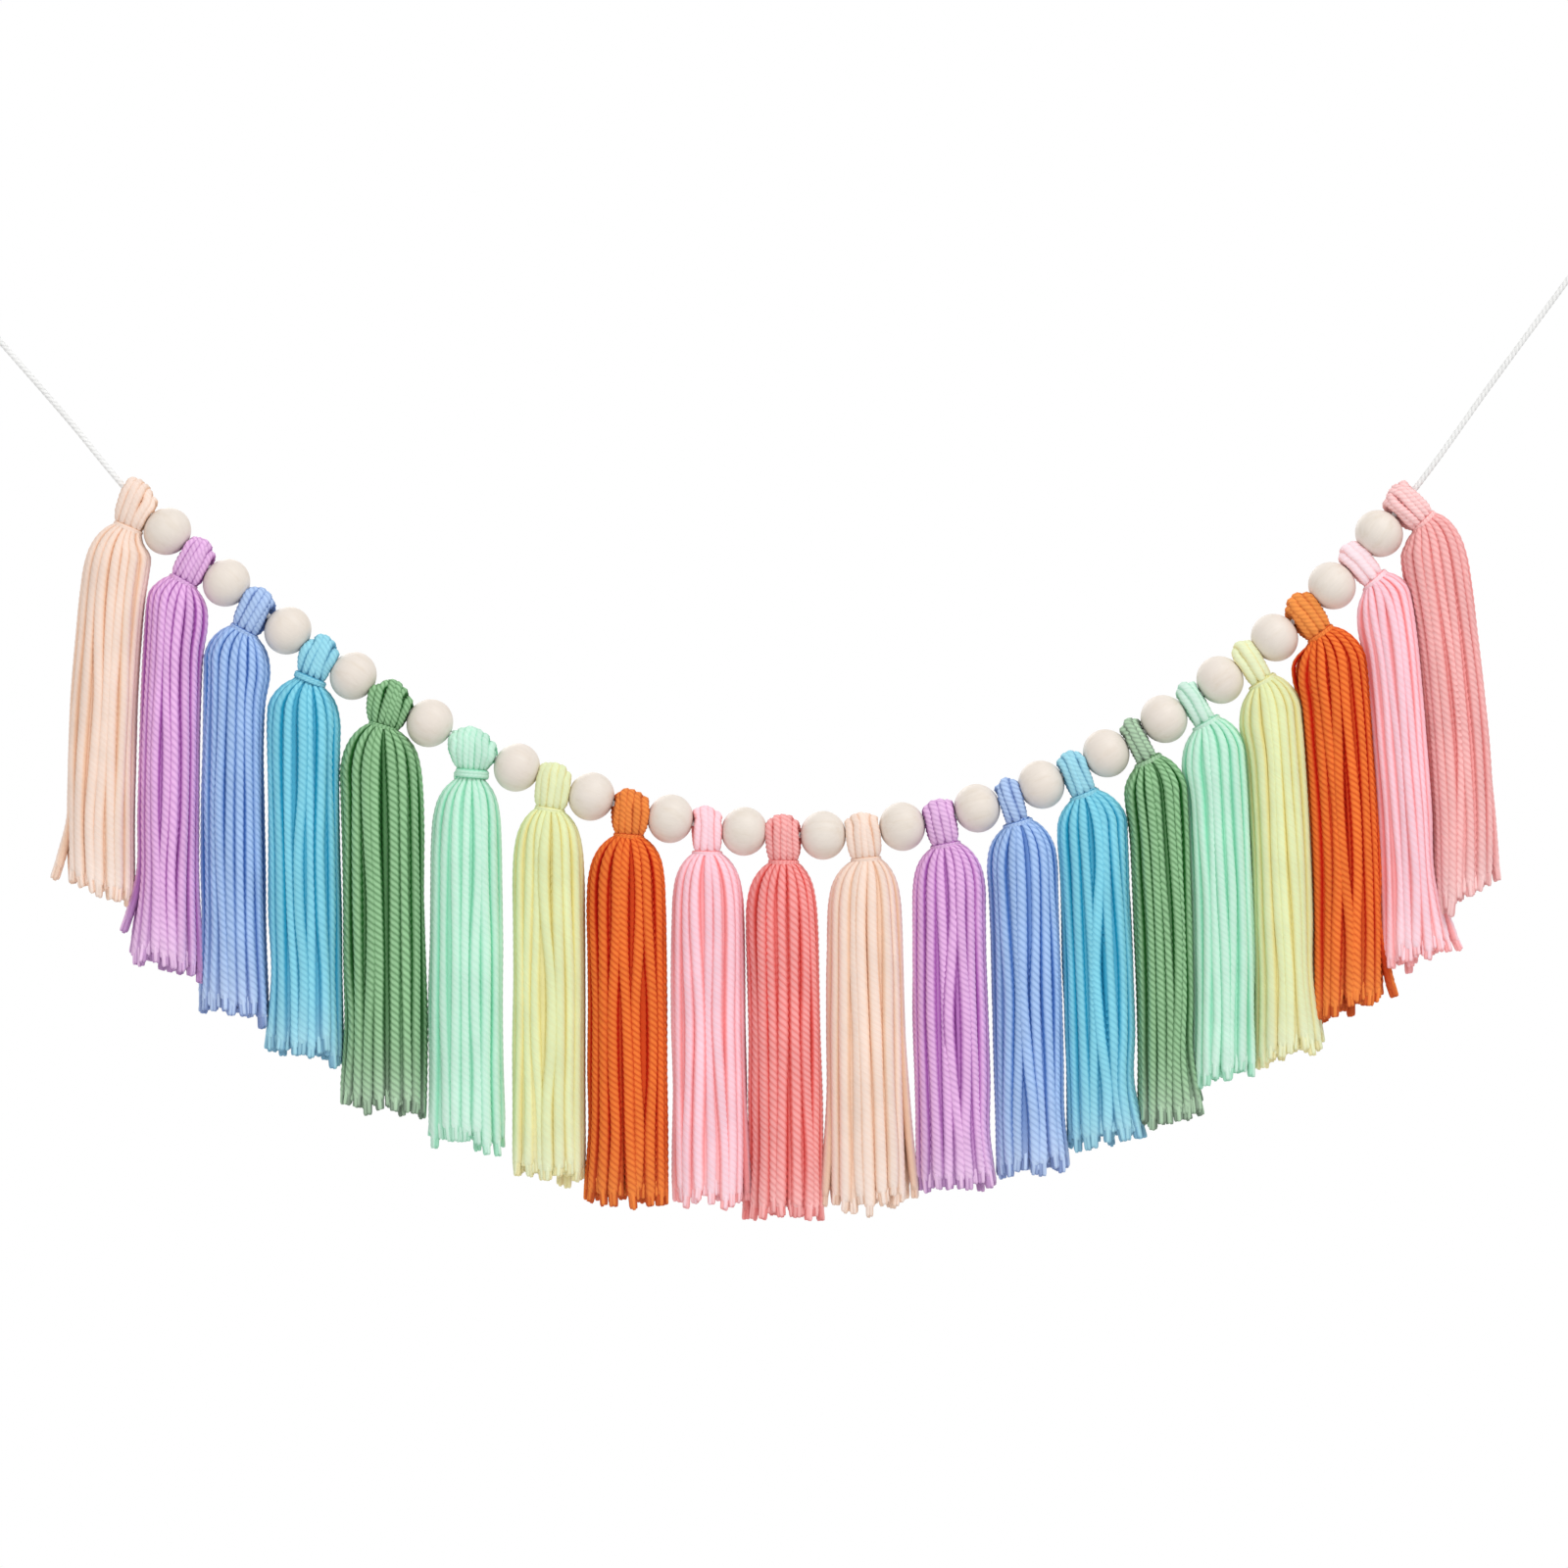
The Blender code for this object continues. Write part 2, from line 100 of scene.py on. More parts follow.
# How far each skirt hangs beside its straight line, soon below the neck
SKIRT_SHIFTS = (
    -0.0005, -0.0005, -0.0008, -0.0014, 0.0002, -0.0012, 0.0003, -0.0003, 0.0000, -0.0008,
    -0.0014, 0.0000, -0.0004, 0.0008, 0.0006, 0.0002, -0.0004, 0.0000, 0.0002, -0.0026,
)
# How far each hem has curved aside from that line
SKIRT_CURLS = (
    0.0050, 0.0025, 0.0033, 0.0014, 0.0000, 0.0005, 0.0000, 0.0000, 0.0000, -0.0004,
    0.0000, 0.0000, -0.0010, -0.0015, -0.0032, -0.0040, -0.0040, -0.0055, -0.0042, -0.0072,
)
# How full each skirt is
SKIRT_GIRTHS = (
    1.00, 1.00, 1.00, 1.08, 1.12, 0.97, 0.97, 1.10, 1.00, 0.98,
    1.02, 1.03, 1.03, 1.07, 0.98, 0.98, 0.95, 1.09, 0.95, 1.00,
)
# How much longer each skirt was cut than its share
SKIRT_EXTRAS = (
    -0.0010, 0.0055, 0.0010, 0.0005, 0.0012, 0.0050, 0.0010, 0.0018, -0.0030, 0.0000,
    -0.0028, -0.0015, 0.0004, -0.0012, -0.0005, 0.0006, 0.0036, 0.0016, 0.0050, 0.0034,
)
# How steeply a hem follows the cord's slope
HEM_SLANT = 0.22
# How far each head is a ball and not a loaf, left to right
HEAD_BALLS = (
    0.1, 0.2, 0.2, 1.0, 1.0, 1.0, 0.1, 0.3, 0.1, 0.1,
    0.2, 0.1, 0.1, 0.2, 0.1, 0.1, 0.1, 0.2, 0.1, 0.1,
)
# Tassels whose tie shows as broad turns, by index, and how far those keep the yarn apart
BROAD_TIES = {3: 0.0010, 5: 0.0018}
# Heads that are wider or narrower than their place on the cord, by index
HEAD_SWELLS = {3: 0.0008, 5: -0.0007}
# How far a tassel is painted paler, by index from the left: painted light that washes out its
# colour
PAINTED_PALING = {19: 0.20}
# How much paler each head is painted, as painted light on the heads, and below, how much paler
# every cut end is
FOLD_PAINTED_LIGHT = (
    0.05, 0.05, 0.09, 0.11, 0.00, 0.05, 0.10, 0.25, 0.10, 0.14,
    0.05, 0.09, 0.10, 0.16, 0.20, 0.24, 0.16, 0.38, 0.40, 0.20,
)
HEM_PALING = 0.20
HEM_PALING_LENGTH = 0.0120
# Loose strands: tassel, side, extra length, how far the end stands off, where it parts
STRAYS = (
    (0, -1, -0.0010, 0.0045, 0.90), (1, -1, -0.0120, 0.0022, 0.76), (1, 1, 0.0040, 0.0020, 0.80),
    (8, 1, 0.0000, 0.0022, 0.55), (9, -1, 0.0030, 0.0018, 0.60), (10, -1, 0.0000, 0.0030, 0.50),
    (10, 1, -0.0020, 0.0034, 0.50), (17, 1, 0.0010, 0.0045, 0.86), (18, 1, 0.0020, 0.0030, 0.80),
    (19, 1, 0.0000, 0.0026, 0.58),
)
# Tassel and side of a strand that stands off its shoulder in a loop
SHOULDER_LOOP = (17, -1)

# Yarn colours, linear: the lit ridge of a strand and the shade between strands
YARNS = (
    ("peach", (0.871, 0.695, 0.599), (0.827, 0.539, 0.374)),
    ("orchid", (0.816, 0.480, 0.792), (0.374, 0.101, 0.414)),
    ("periwinkle", (0.396, 0.565, 0.865), (0.054, 0.156, 0.473)),
    ("sky", (0.242, 0.651, 0.788), (0.010, 0.280, 0.470)),
    ("sage", (0.318, 0.568, 0.308), (0.010, 0.100, 0.014)),
    ("mint", (0.561, 0.828, 0.683), (0.235, 0.681, 0.442)),
    ("lime", (0.736, 0.804, 0.458), (0.773, 0.690, 0.275)),
    ("rust", (0.890, 0.205, 0.040), (0.500, 0.010, 0.002)),
    ("pink", (0.951, 0.618, 0.704), (0.931, 0.293, 0.298)),
    ("coral", (0.915, 0.370, 0.358), (0.740, 0.085, 0.072)),
)
WHITE = (1.0, 1.0, 1.0)
# Yarns that are brushed soft: how much of their plies still shows
SOFT_YARNS = {
    "peach": 0.55, "orchid": 0.85, "periwinkle": 0.85, "sky": 0.75,
    "mint": 0.60, "lime": 0.50, "pink": 0.55,
}
# What a yarn is painted paler toward, where that is not white
PALE_TONES = {"rust": (0.950, 0.500, 0.130)}
BUNDLE_SEED = 11
SEED_STEP = 100

# What yarn keeps clear of a bead and of the next tassel; those on the right press together
BEAD_CLEARANCE = 0.0002
LANE_GAP = 0.0002
PRESSED_GAP = -0.0012
PRESSED_FROM = 14
HEM_CLEARANCE = 0.0060
# How a bundle opens below its neck: to its own line, in a round shoulder, then in a slow flare
SHIFT_LENGTH = 0.0060
SHOULDER_LENGTH = 0.0050
SHOULDER_START = 0.0046
BODY_SHARE = 0.905
THICKENING_LENGTH = 0.0060
# How full the outline is at its corners, and what that adds to the way round it
ROUNDING = 0.82
GIRTH_SHARE = 1.04
OUTLINE_STEPS = 720
# The drops below the neck at which a strand is placed; the last stands for the hem
SKIRT_DROPS = (
    -0.0012, 0.0, 0.0012, 0.0028, 0.0050, 0.0080, 0.0130, 0.0220,
    0.0360, 0.0550, 0.0760, 0.0960, 1.0,
)
# An outer strand: half its thickness at the neck, its tuck into the tie, and its shape below
NECK_HALF = 0.0009
NECK_TUCK = 0.0006
PRESSED_FLAT = 0.9
OVERLAP = 1.25
WIDEST = 1.18
LEFT_EDGE = 1.06 * math.pi
ANGLE_PLAY = 0.16
SINKING, SINKING_RATE = 0.0008, 8
HEM_SPREAD = 0.07
NO_STRAY = (0.0, 0.0, 0.5)
PARTING_CURVE = 1.6
LEAST_HALF = 0.001
# Its waves: how far each goes, and how fast it runs down the strand
SWAY, SLOW_SWAY, FAST_SWAY = 0.075, 4.0, 9.0
RIPPLE, RIPPLE_WAVES = 0.00025, 11
SWELL, SWELL_WAVES = 0.06, 14
# The strand that stands off a shoulder: how far, down to which drop, and how thin it is there
LOOP_STAND_OFF = 0.0022
LOOP_DROP = 0.018
LOOP_THINNING = 0.5
# An inner strand: half its thickness at the neck and below, and how much shorter it is cut
INNER_NECK_HALF = 0.0010
INNER_HALF = 0.0016
INNER_WIDTH_SHARE = 1.15
INNER_CUT = 0.0012
INNER_SLANT_SHARE = 0.7
HEART_STRANDS = 5
# How far each ring of inner strands is sunk in the bundle, and how much of them lies in shade
BEHIND_RING, MIDDLE_RING, HEART_RING = (0.0012, 0.25), (0.0044, 0.40), (0.0076, 0.50)
# The cut ends: few are odd, and the others have this share of the raggedness
ODD_CUTS = 0.22
EVEN_CUT_SHARE = 0.35
STRAND_TAPER = 0.82
TAPER_LENGTH = 0.0060
CUT_BACK = 0.0030
TUFT_ROOT = 0.0050
TUFT_LENGTHS = (0.0050, 0.0068)
TUFT_BEND = 0.0007
TUFT_FULLNESS = 1.02
TUFT_SHADE_SHARE = 0.4
# The fold's outer and inner layer: half depth, rise, half a strand, how far it reaches past half
# the head, how far inside the neck it closes, and how much of it lies in shade
FOLD_LAYERS = (
    (HEAD_DEPTH / 2, HEAD_RISE, 0.00150, 0.0005, 0.0, 0.0),
    (0.0038, 0.0044, 0.00125, -0.0002, 0.0014, 0.12),
)
# A fold strand's leg: share of the neck's drop, and how far it has closed in a loaf and in a ball
FOLD_LEG = (
    (1.16, 1.0, 1.0), (1.0, 0.96, 0.92), (0.90, 0.66, 0.66), (0.78, 0.32, 0.42),
    (0.60, 0.08, 0.20), (0.30, 0.0, 0.04), (0.0, 0.0, 0.0),
)
FOLD_SPAN = 0.046
FOLD_PITCH = 0.0024
FOLD_FULLNESS = 1.50
FOLD_SKEW = 0.0007
FOLD_WAVE = 0.0004
FOLD_UNEVENNESS = 0.0005
NECK_SWING = math.radians(76)
NECK_SIDE = 0.00095
# The legs' stretch that a broad tie raises, in shares of the neck's drop
RAISED = (0.5, 1.1)
# How much less deep a head's edge is; then, in a loaf and in a ball, how much lower its edge and
# how much narrower its top is, and the share of its shear that a ball gives up
EDGE_THINNING, THINNING_CURVE = 0.16, 2.5
EDGE_DROP, DROP_CURVE = (0.15, 0.46), 2.2
TOP_NARROWING = (0.06, 0.32)
BALL_STIFFNESS = 0.5
# How far a strand's outer side leans with its place in the head and at the neck
SIDE_LEANS = (0.25, 0.90)
ARCH_STEPS = 6
# The tie's half width, half depth and half spread; a broad one grows with its band, and so does
# the neck in it
THIN_TIE = (0.00070, 0.00055, 0.00055)
BROAD_TIE = ((0.0006, 0.25), (0.00075, 0.0), (0.0004, 0.33))
NECK_GROWTH = 0.28
TIE_TURNS = 2
TIE_STARTS = (0.6 * math.pi, 1.2 * math.pi)
TIE_STAND_OFF = 0.0007
TIE_STEPS = 40
# The straight patterns: their plies and grooves, rings a ply, and how slack some are twisted
BEHIND_PLIES, TIE_PLIES, TUFT_PLIES = 3, 3, 4
FOLD_GROOVE_SHARE, TIE_GROOVE = 1.3, 0.14
RINGS_A_PLY = 2
CORE_RINGS, TIE_RINGS = 24, 96
SLACK_TWIST, BEHIND_TWIST = 1.2, 1.3
# Steps a point while a line is evened out
EVENING_STEPS = 4
# Points along a laid strand
LINE_POINTS = {
    "skirt": 90, "slack": 90, "behind": 60, "core": 26, "fold": 60, "tie": 100, "tuft": 6,
}

YARN_FINISH = {"streaks": 0.30, "relief": 0.35}
CORD_FINISH = {"streaks": 0.12, "relief": 0.25}
CORD_SHADE = 0.72
CORD_STRANDS = 3
CORD_GROOVE = 0.16
CORD_RINGS = 4
CORD_STEP = 0.004
CORD_LEAST_STEPS = 8
CORD_POINTS_A_STEP, CORD_LOBE_SIDES = 4, 4
KNOT_TURNS = 3
KNOT_STEPS = 48
LOOP_STEPS = 24

# A bead's poles, opened and lipped, in shares of the bore's radius; its lip's height and depth
POLE_OPENING = 1.25
LIP_OPENING = 1.08
LIP_HEIGHT = 0.0001
LIP_DEPTH = 0.0005
GRAIN_SHIFT = 3.0
BEAD_SEGMENTS, BEAD_RINGS = 40, 22

VIEW_CENTRE = Vector((0.2736, 0.0, -0.1648))
VIEW_WIDTH = 0.512
LENS = 100.0
SENSOR = 36.0
# Round lamps by name: place beside the view's centre, and width
LAMPS = {
    "key": ((0.75, -1.10, 1.45), 1.3),
    "fill": ((-0.9, -1.7, 0.2), 1.2),
    "back": ((-0.7, 1.50, 0.9), 1.3),
}
FLOOR_DEPTH = 1.0
FLOOR_RADIUS = 2.6
FLOOR_GLOW = 0.40
FLOOR_SIDES, FLOOR_ROUGHNESS = 96, 0.9


# ---------------------------------------------------------------- settings


class GARLAND_PG_yarn(bpy.types.PropertyGroup):
    strand_width: FloatProperty(
        name="Strand width", description="Width of one length of yarn in the skirt",
        default=0.0037, min=0.001, max=0.006, unit="LENGTH", subtype="DISTANCE",
    )
    plies: IntProperty(
        name="Plies", description="Plies twisted into the yarn", default=4, min=2, max=6,
    )
    twist_pitch: FloatProperty(
        name="Twist pitch", description="Length of yarn in which a ply goes round once",
        default=0.0080, min=0.002, max=0.02, unit="LENGTH", subtype="DISTANCE",
    )
    ply_depth: FloatProperty(
        name="Ply depth", description="How deep the valley between two plies is",
        default=0.13, min=0.0, max=0.5, subtype="FACTOR",
    )
    skirt_strands: IntProperty(
        name="Skirt strands", description="Strands round the outside of a skirt",
        default=18, min=8, max=40,
    )
    core_strands: IntProperty(
        name="Core strands", description="Strands in the middle of a skirt",
        default=8, min=0, max=30,
    )
    hem_raggedness: FloatProperty(
        name="Hem raggedness", description="How unevenly the strands are cut",
        default=0.0075, min=0.0, max=0.02, unit="LENGTH", subtype="DISTANCE",
    )


class GARLAND_PG_bead(bpy.types.PropertyGroup):
    wood_colour: FloatVectorProperty(
        name="Wood", description="Colour of the turned wood",
        default=(0.762, 0.690, 0.620), min=0.0, max=1.0, size=3, subtype="COLOR",
    )
    grain_colour: FloatVectorProperty(
        name="Grain", description="Colour of the darker grain lines",
        default=(0.700, 0.612, 0.515), min=0.0, max=1.0, size=3, subtype="COLOR",
    )


class GARLAND_PG_cord(bpy.types.PropertyGroup):
    cord_colour: FloatVectorProperty(
        name="Cord", description="Colour of the twisted cord",
        default=(0.86, 0.86, 0.85), min=0.0, max=1.0, size=3, subtype="COLOR",
    )
    lay_pitch: FloatProperty(
        name="Lay", description="Length of cord in which a strand goes round once",
        default=0.0056, min=0.001, max=0.02, unit="LENGTH", subtype="DISTANCE",
    )


class GARLAND_PG_stage(bpy.types.PropertyGroup):
    key_power: FloatProperty(
        name="Key light", description="Power of the large front light",
        default=17.0, min=0.0, unit="POWER",
    )
    fill_power: FloatProperty(
        name="Fill light", description="Power of the side light",
        default=4.0, min=0.0, unit="POWER",
    )
    back_power: FloatProperty(
        name="Back light", description="Power of the light behind",
        default=9.0, min=0.0, unit="POWER",
    )
    room_light: FloatProperty(
        name="Room light", description="Strength of the even light around",
        default=0.71, min=0.0,
    )


# ---------------------------------------------------------------- lines


def arc_lengths(points):
    steps = np.linalg.norm(np.diff(points, axis=0), axis=1)
    return np.concatenate([[0.0], np.cumsum(steps)])


def read_along(places, arc, rows):
    """Rows of three numbers, read at places along an arc."""
    return np.stack([np.interp(places, arc, rows[:, k]) for k in range(3)], axis=1)


def curve_at(points, knots, places):
    """Points of the smooth curve through the given ones, at places along their chords."""
    i = np.clip(np.searchsorted(knots, places, side="right") - 1, 0, len(knots) - 2)
    slope = np.gradient(points, knots, axis=0)
    reach = np.diff(knots)[i][:, None]
    u = (places - knots[i])[:, None] / reach
    return (
        points[i] * (2 * u**3 - 3 * u**2 + 1)
        + slope[i] * reach * (u**3 - 2 * u**2 + u)
        + points[i + 1] * (3 * u**2 - 2 * u**3)
        + slope[i + 1] * reach * (u**3 - u**2)
    )


def smooth_line(points, count):
    """A smooth run of evenly spaced points through the given ones."""
    points = np.array([tuple(point) for point in points])
    knots = arc_lengths(points)
    fine = curve_at(points, knots, np.linspace(0.0, knots[-1], EVENING_STEPS * count))
    arc = arc_lengths(fine)
    return read_along(np.linspace(0.0, arc[-1], count), arc, fine)


class HangingCurve:
    """The smooth line of the cord in the plane Y = 0, read by its length."""

    STEPS_PER_SPAN = 40

    def __init__(self):
        points = np.array([(x, 0.0, z) for x, z in ROUTE])
        knots = arc_lengths(points)
        spans = len(ROUTE) - 1
        steps = np.linspace(0.0, spans, spans * self.STEPS_PER_SPAN + 1)
        self.samples = curve_at(points, knots, np.interp(steps, range(spans + 1), knots))
        self.lengths = arc_lengths(self.samples)
        self.length = self.lengths[-1]

    def at(self, distance):
        """The point at a length of cord, and the cord's direction there."""
        i = np.clip(np.searchsorted(self.lengths, distance) - 1, 0, len(self.lengths) - 2)
        a, b = Vector(self.samples[i]), Vector(self.samples[i + 1])
        share = (distance - self.lengths[i]) / (self.lengths[i + 1] - self.lengths[i])
        return a.lerp(b, share), (b - a).normalized()


def head_width(i):
    return HEAD_WIDTH * HEAD_WIDTH_SHARES[i]


def threading():
    """Lengths of cord at which the heads and the beads sit, each against the next."""
    heads = [FREE_CORD_LEFT]
    beads = []
    for i in range(TASSELS - 1):
        beads.append(heads[-1] + head_width(i) / 2 + SEAT_GAP + BEAD_LENGTH / 2)
        heads.append(beads[-1] + BEAD_LENGTH / 2 + SEAT_GAP + head_width(i + 1) / 2)
    return heads, beads


def square_to(direction):
    """The direction in the cord's plane that is square to the given one."""
    return Vector((-direction.z, 0.0, direction.x))


def turned(angle):
    """The direction in the cord's plane that rises from +X by an angle."""
    return Vector((math.cos(angle), 0.0, math.sin(angle)))


def between(low, high, share):
    return low + (high - low) * share


def clamp(value):
    return min(max(value, 0.0), 1.0)


def eased(distance, length):
    """The share of a change that a distance makes: most in one length, all after a few."""
    return 1.0 - math.exp(-max(distance, 0.0) / length)


# ---------------------------------------------------------------- objects


def deselect():
    bpy.ops.object.select_all(action="DESELECT")


def choose(obj):
    deselect()
    obj.select_set(True)
    bpy.context.view_layer.objects.active = obj


def rename(obj, name):
    obj.name = name
    obj.data.name = name


def place(obj, matrix):
    """Puts a place in the mesh and leaves the object at the origin."""
    obj.data.transform(matrix)
    obj.matrix_world = Matrix.Identity(4)


def copy_of(pattern):
    obj = pattern.copy()
    obj.data = pattern.data.copy()
    bpy.context.scene.collection.objects.link(obj)
    return obj


def drop(obj):
    mesh = obj.data
    bpy.data.objects.remove(obj, do_unlink=True)
    if mesh.users == 0:
        bpy.data.meshes.remove(mesh)


def join(objects, name):
    choose(objects[0])
    for obj in objects:
        obj.select_set(True)
    bpy.ops.object.join()
    rename(objects[0], name)
    return objects[0]


def give(obj, material):
    obj.data.materials.clear()
    obj.data.materials.append(material)


def apply_modifier(obj, modifier):
    choose(obj)
    bpy.ops.object.modifier_apply(modifier=modifier.name)


def edit_points(obj, wanted):
    """Opens a mesh for editing, with the points selected whose place is wanted."""
    choose(obj)
    bpy.ops.object.mode_set(mode="EDIT")
    bpy.ops.mesh.select_mode(type="VERT")
    bpy.ops.mesh.select_all(action="DESELECT")
    bm = bmesh.from_edit_mesh(obj.data)
    for vertex in bm.verts:
        vertex.select = wanted(vertex.co)
    bm.select_flush(True)
    bmesh.update_edit_mesh(obj.data)


def turn_faces_out(obj):
    choose(obj)
    bpy.ops.object.mode_set(mode="EDIT")
    bpy.ops.mesh.select_all(action="SELECT")
    bpy.ops.mesh.normals_make_consistent(inside=False)
    bpy.ops.object.mode_set(mode="OBJECT")


def point_values(mesh, name, values):
    """Stores a number or a vector with each point of a mesh."""
    values = np.ascontiguousarray(values, np.float32)
    kind, field = ("FLOAT", "value") if values.ndim == 1 else ("FLOAT_VECTOR", "vector")
    layer = mesh.attributes.get(name) or mesh.attributes.new(name, kind, "POINT")
    layer.data.foreach_set(field, values.ravel())


def read_vectors(items, field):
    values = np.empty(len(items) * 3, np.float32)
    items.foreach_get(field, values)
    return values.reshape(-1, 3).astype(float)


def coordinates(mesh):
    return read_vectors(mesh.vertices, "co")


# ---------------------------------------------------------------- patterns of yarn


END_ROUNDING = 0.005
END_TOLERANCE = 1e-5
END_DRAWN_IN = 0.6
FIBRE_STRETCH = 40.0
FIBRE_SHIFT = 60.0
# A parted ply of a cut end: where it stands, how it leans, its reach, and its foot and tip
PLY_OFFSET = 0.42
PLY_LEANS = (-0.10, 0.08)
PLY_REACHES = (0.88, 1.0)
PLY_FOOT, PLY_TIP = 0.50, 0.44
PLY_SIDES, PLY_ROUNDING = 6, 0.12
PLY_EDGE = math.radians(60)
TUFT_GROOVE, TUFT_GROOVE_RATE = 0.25, 9.0


def model_twisted_length(
    name, lobes, depth, rings, turn_steps, sides_per_lobe=2, rounded=True, shown=1.0
):
    """A straight twisted length of radius 1 and length 1 on Z: a circle drawn in and screwed up.

    The twist runs one lobe every turn_steps rings. The upper end is the cut one. shown is how
    plainly its plies stand out.
    """
    deselect()
    sides = lobes * sides_per_lobe
    bpy.ops.mesh.primitive_circle_add(vertices=sides, radius=1.0, fill_type="NOTHING")
    obj = bpy.context.object
    obj.name = name
    for vertex in obj.data.vertices:
        share = 0.5 - 0.5 * math.cos(math.tau * vertex.index / sides_per_lobe)
        vertex.co *= 1.0 - depth * share
    twist = obj.modifiers.new("Twist", "SCREW")
    twist.axis = "Z"
    twist.angle = math.tau / (lobes * turn_steps) * rings
    twist.screw_offset = 1.0
    twist.steps = rings
    twist.render_steps = rings
    twist.use_smooth_shade = True
    apply_modifier(obj, twist)
    radius = np.linalg.norm(coordinates(obj.data)[:, :2], axis=1)
    close_end(obj, 0.0, rounded=False)
    close_end(obj, 1.0, rounded)
    turn_faces_out(obj)
    record_pattern(obj.data, sides, radius, depth, shown)
    return obj


def close_end(obj, height, rounded):
    """Fills one end of a tube; a rounded one is first drawn out and in."""
    edit_points(obj, lambda co: abs(co.z - height) < END_TOLERANCE)
    if rounded:
        bpy.ops.mesh.extrude_region_move(
            TRANSFORM_OT_translate={"value": (0.0, 0.0, END_ROUNDING)}
        )
        bpy.ops.transform.resize(
            value=(END_DRAWN_IN, END_DRAWN_IN, 1.0), center_override=(0.0, 0.0, height)
        )
    bpy.ops.mesh.edge_face_add()
    bpy.ops.object.mode_set(mode="OBJECT")


def record_pattern(mesh, sides, radius, depth, shown):
    """Stores how deep each point lies between plies, and where its fibre runs."""
    co = coordinates(mesh)
    groove = np.zeros(len(co))
    if depth:
        groove[: len(radius)] = shown * (1.0 - radius) / depth
    angle = math.tau * (np.arange(len(co)) % sides) / sides
    point_values(mesh, "groove", groove)
    point_values(
        mesh, "fibre", np.stack([np.cos(angle), np.sin(angle), co[:, 2] * FIBRE_STRETCH], axis=1)
    )
    mesh.shade_smooth()


def model_tuft(name, plies, chance):
    """The cut end of a strand: its plies, a little parted, of uneven lengths, on Z from 0 to 1."""
    parts = []
    for k in range(plies):
        deselect()
        reach = chance.uniform(*PLY_REACHES)
        bpy.ops.mesh.primitive_cone_add(
            vertices=PLY_SIDES, radius1=PLY_FOOT, radius2=PLY_TIP, depth=reach
        )
        ply = bpy.context.object
        angle = math.tau * (k + 0.5 * chance.random()) / plies
        lean = chance.uniform(*PLY_LEANS)
        for vertex in ply.data.vertices:
            shift = PLY_OFFSET + lean * (vertex.co.z / reach + 0.5) ** 2
            vertex.co += Vector((shift * math.cos(angle), shift * math.sin(angle), reach / 2))
        rounding = ply.modifiers.new("Rounding", "BEVEL")
        rounding.width = PLY_ROUNDING
        rounding.segments = 1
        rounding.angle_limit = PLY_EDGE
        rounding.limit_method = "ANGLE"
        apply_modifier(ply, rounding)
        parts.append(ply)
    tuft = join(parts, name)
    co = coordinates(tuft.data)
    waves = np.sin(TUFT_GROOVE_RATE * co)
    point_values(tuft.data, "groove", TUFT_GROOVE * (1.0 + waves[:, 0] * waves[:, 1]))
    point_values(tuft.data, "fibre", co * (1.0, 1.0, 2.0))
    tuft.data.shade_smooth()
    return tuft


def lay_length(pattern, line, outward, side_half, out_half, chance, least_shade=0.0, fade=0.0):
    """A copy of a straight pattern bent along a line, its outer side turned outward."""
    obj = copy_of(pattern)
    co = coordinates(obj.data)
    roll = math.tau * chance.random()
    x = co[:, 0] * math.cos(roll) - co[:, 1] * math.sin(roll)
    y = co[:, 0] * math.sin(roll) + co[:, 1] * math.cos(roll)
    arc = arc_lengths(line)
    within = np.clip(co[:, 2], 0.0, 1.0)
    s = within * arc[-1]
    past = (co[:, 2] - within) * arc[-1]

    def unit(vectors):
        return vectors / np.linalg.norm(vectors, axis=1)[:, None]

    def number_along(values):
        return np.interp(s, arc, np.broadcast_to(values, len(line)))

    t = unit(read_along(s, arc, np.gradient(line, arc, axis=0)))
    side = unit(np.cross(t, read_along(s, arc, np.broadcast_to(outward, line.shape))))
    out = np.cross(side, t)
    laid = read_along(s, arc, line) + t * past[:, None]
    laid += side * (x * number_along(side_half))[:, None]
    laid += out * (y * number_along(out_half))[:, None]
    obj.data.vertices.foreach_set("co", laid.astype(np.float32).ravel())
    fibre = read_vectors(obj.data.attributes["fibre"].data, "vector")
    fibre[:, 2] += FIBRE_SHIFT * chance.random()
    point_values(obj.data, "fibre", fibre)
    point_values(obj.data, "strand", np.full(len(co), chance.random()))
    # Painted shade: the side of a strand that faces into the bundle, and all of a buried strand,
    # is painted toward the shade colour
    point_values(obj.data, "tuck", np.clip(0.5 - 0.5 * y, least_shade, 1.0))
    # How much paler the strand is painted along its length
    point_values(obj.data, "fade", number_along(fade))
    return obj


# ---------------------------------------------------------------- materials


COLOUR, NUMBER, VECTOR = "NodeSocketColor", "NodeSocketFloat", "NodeSocketVector"
# How sharply the plies part, how much they shade each other, and how fine fibre and grain run
GROOVE_SHARPNESS = 1.8
GROOVE_SHADE = 0.60
FIBRE_SCALES = (3.2, 3.2, 0.55)
GRAIN_SCALES = (330.0, 330.0, 45.0)
# Scale and detail of each noise, how rough two of them are, and the range that they mostly span
STREAK_NOISE, STREAK_NOISE_ROUGHNESS = (2.2, 4.0), 0.65
BAND_NOISE, BAND_NOISE_ROUGHNESS = (1.0, 5.0), 0.6
DYE_NOISE, FLUFF_NOISE, PORE_NOISE = (70.0, 2.0), (2600.0, 3.0), (5.0, 2.0)
FLOOR_NOISE = (3.0, 2.0)
NOISE_RANGE, PORE_RANGE = (0.3, 0.7), (0.35, 0.65)
# How much of the relief each of them makes
STREAK_RELIEF, FLUFF_RELIEF, PORE_RELIEF = 0.25, 0.12, 0.5
# Where shade begins and is full between strands
TUCK_SHADE = (0.03, 0.35)
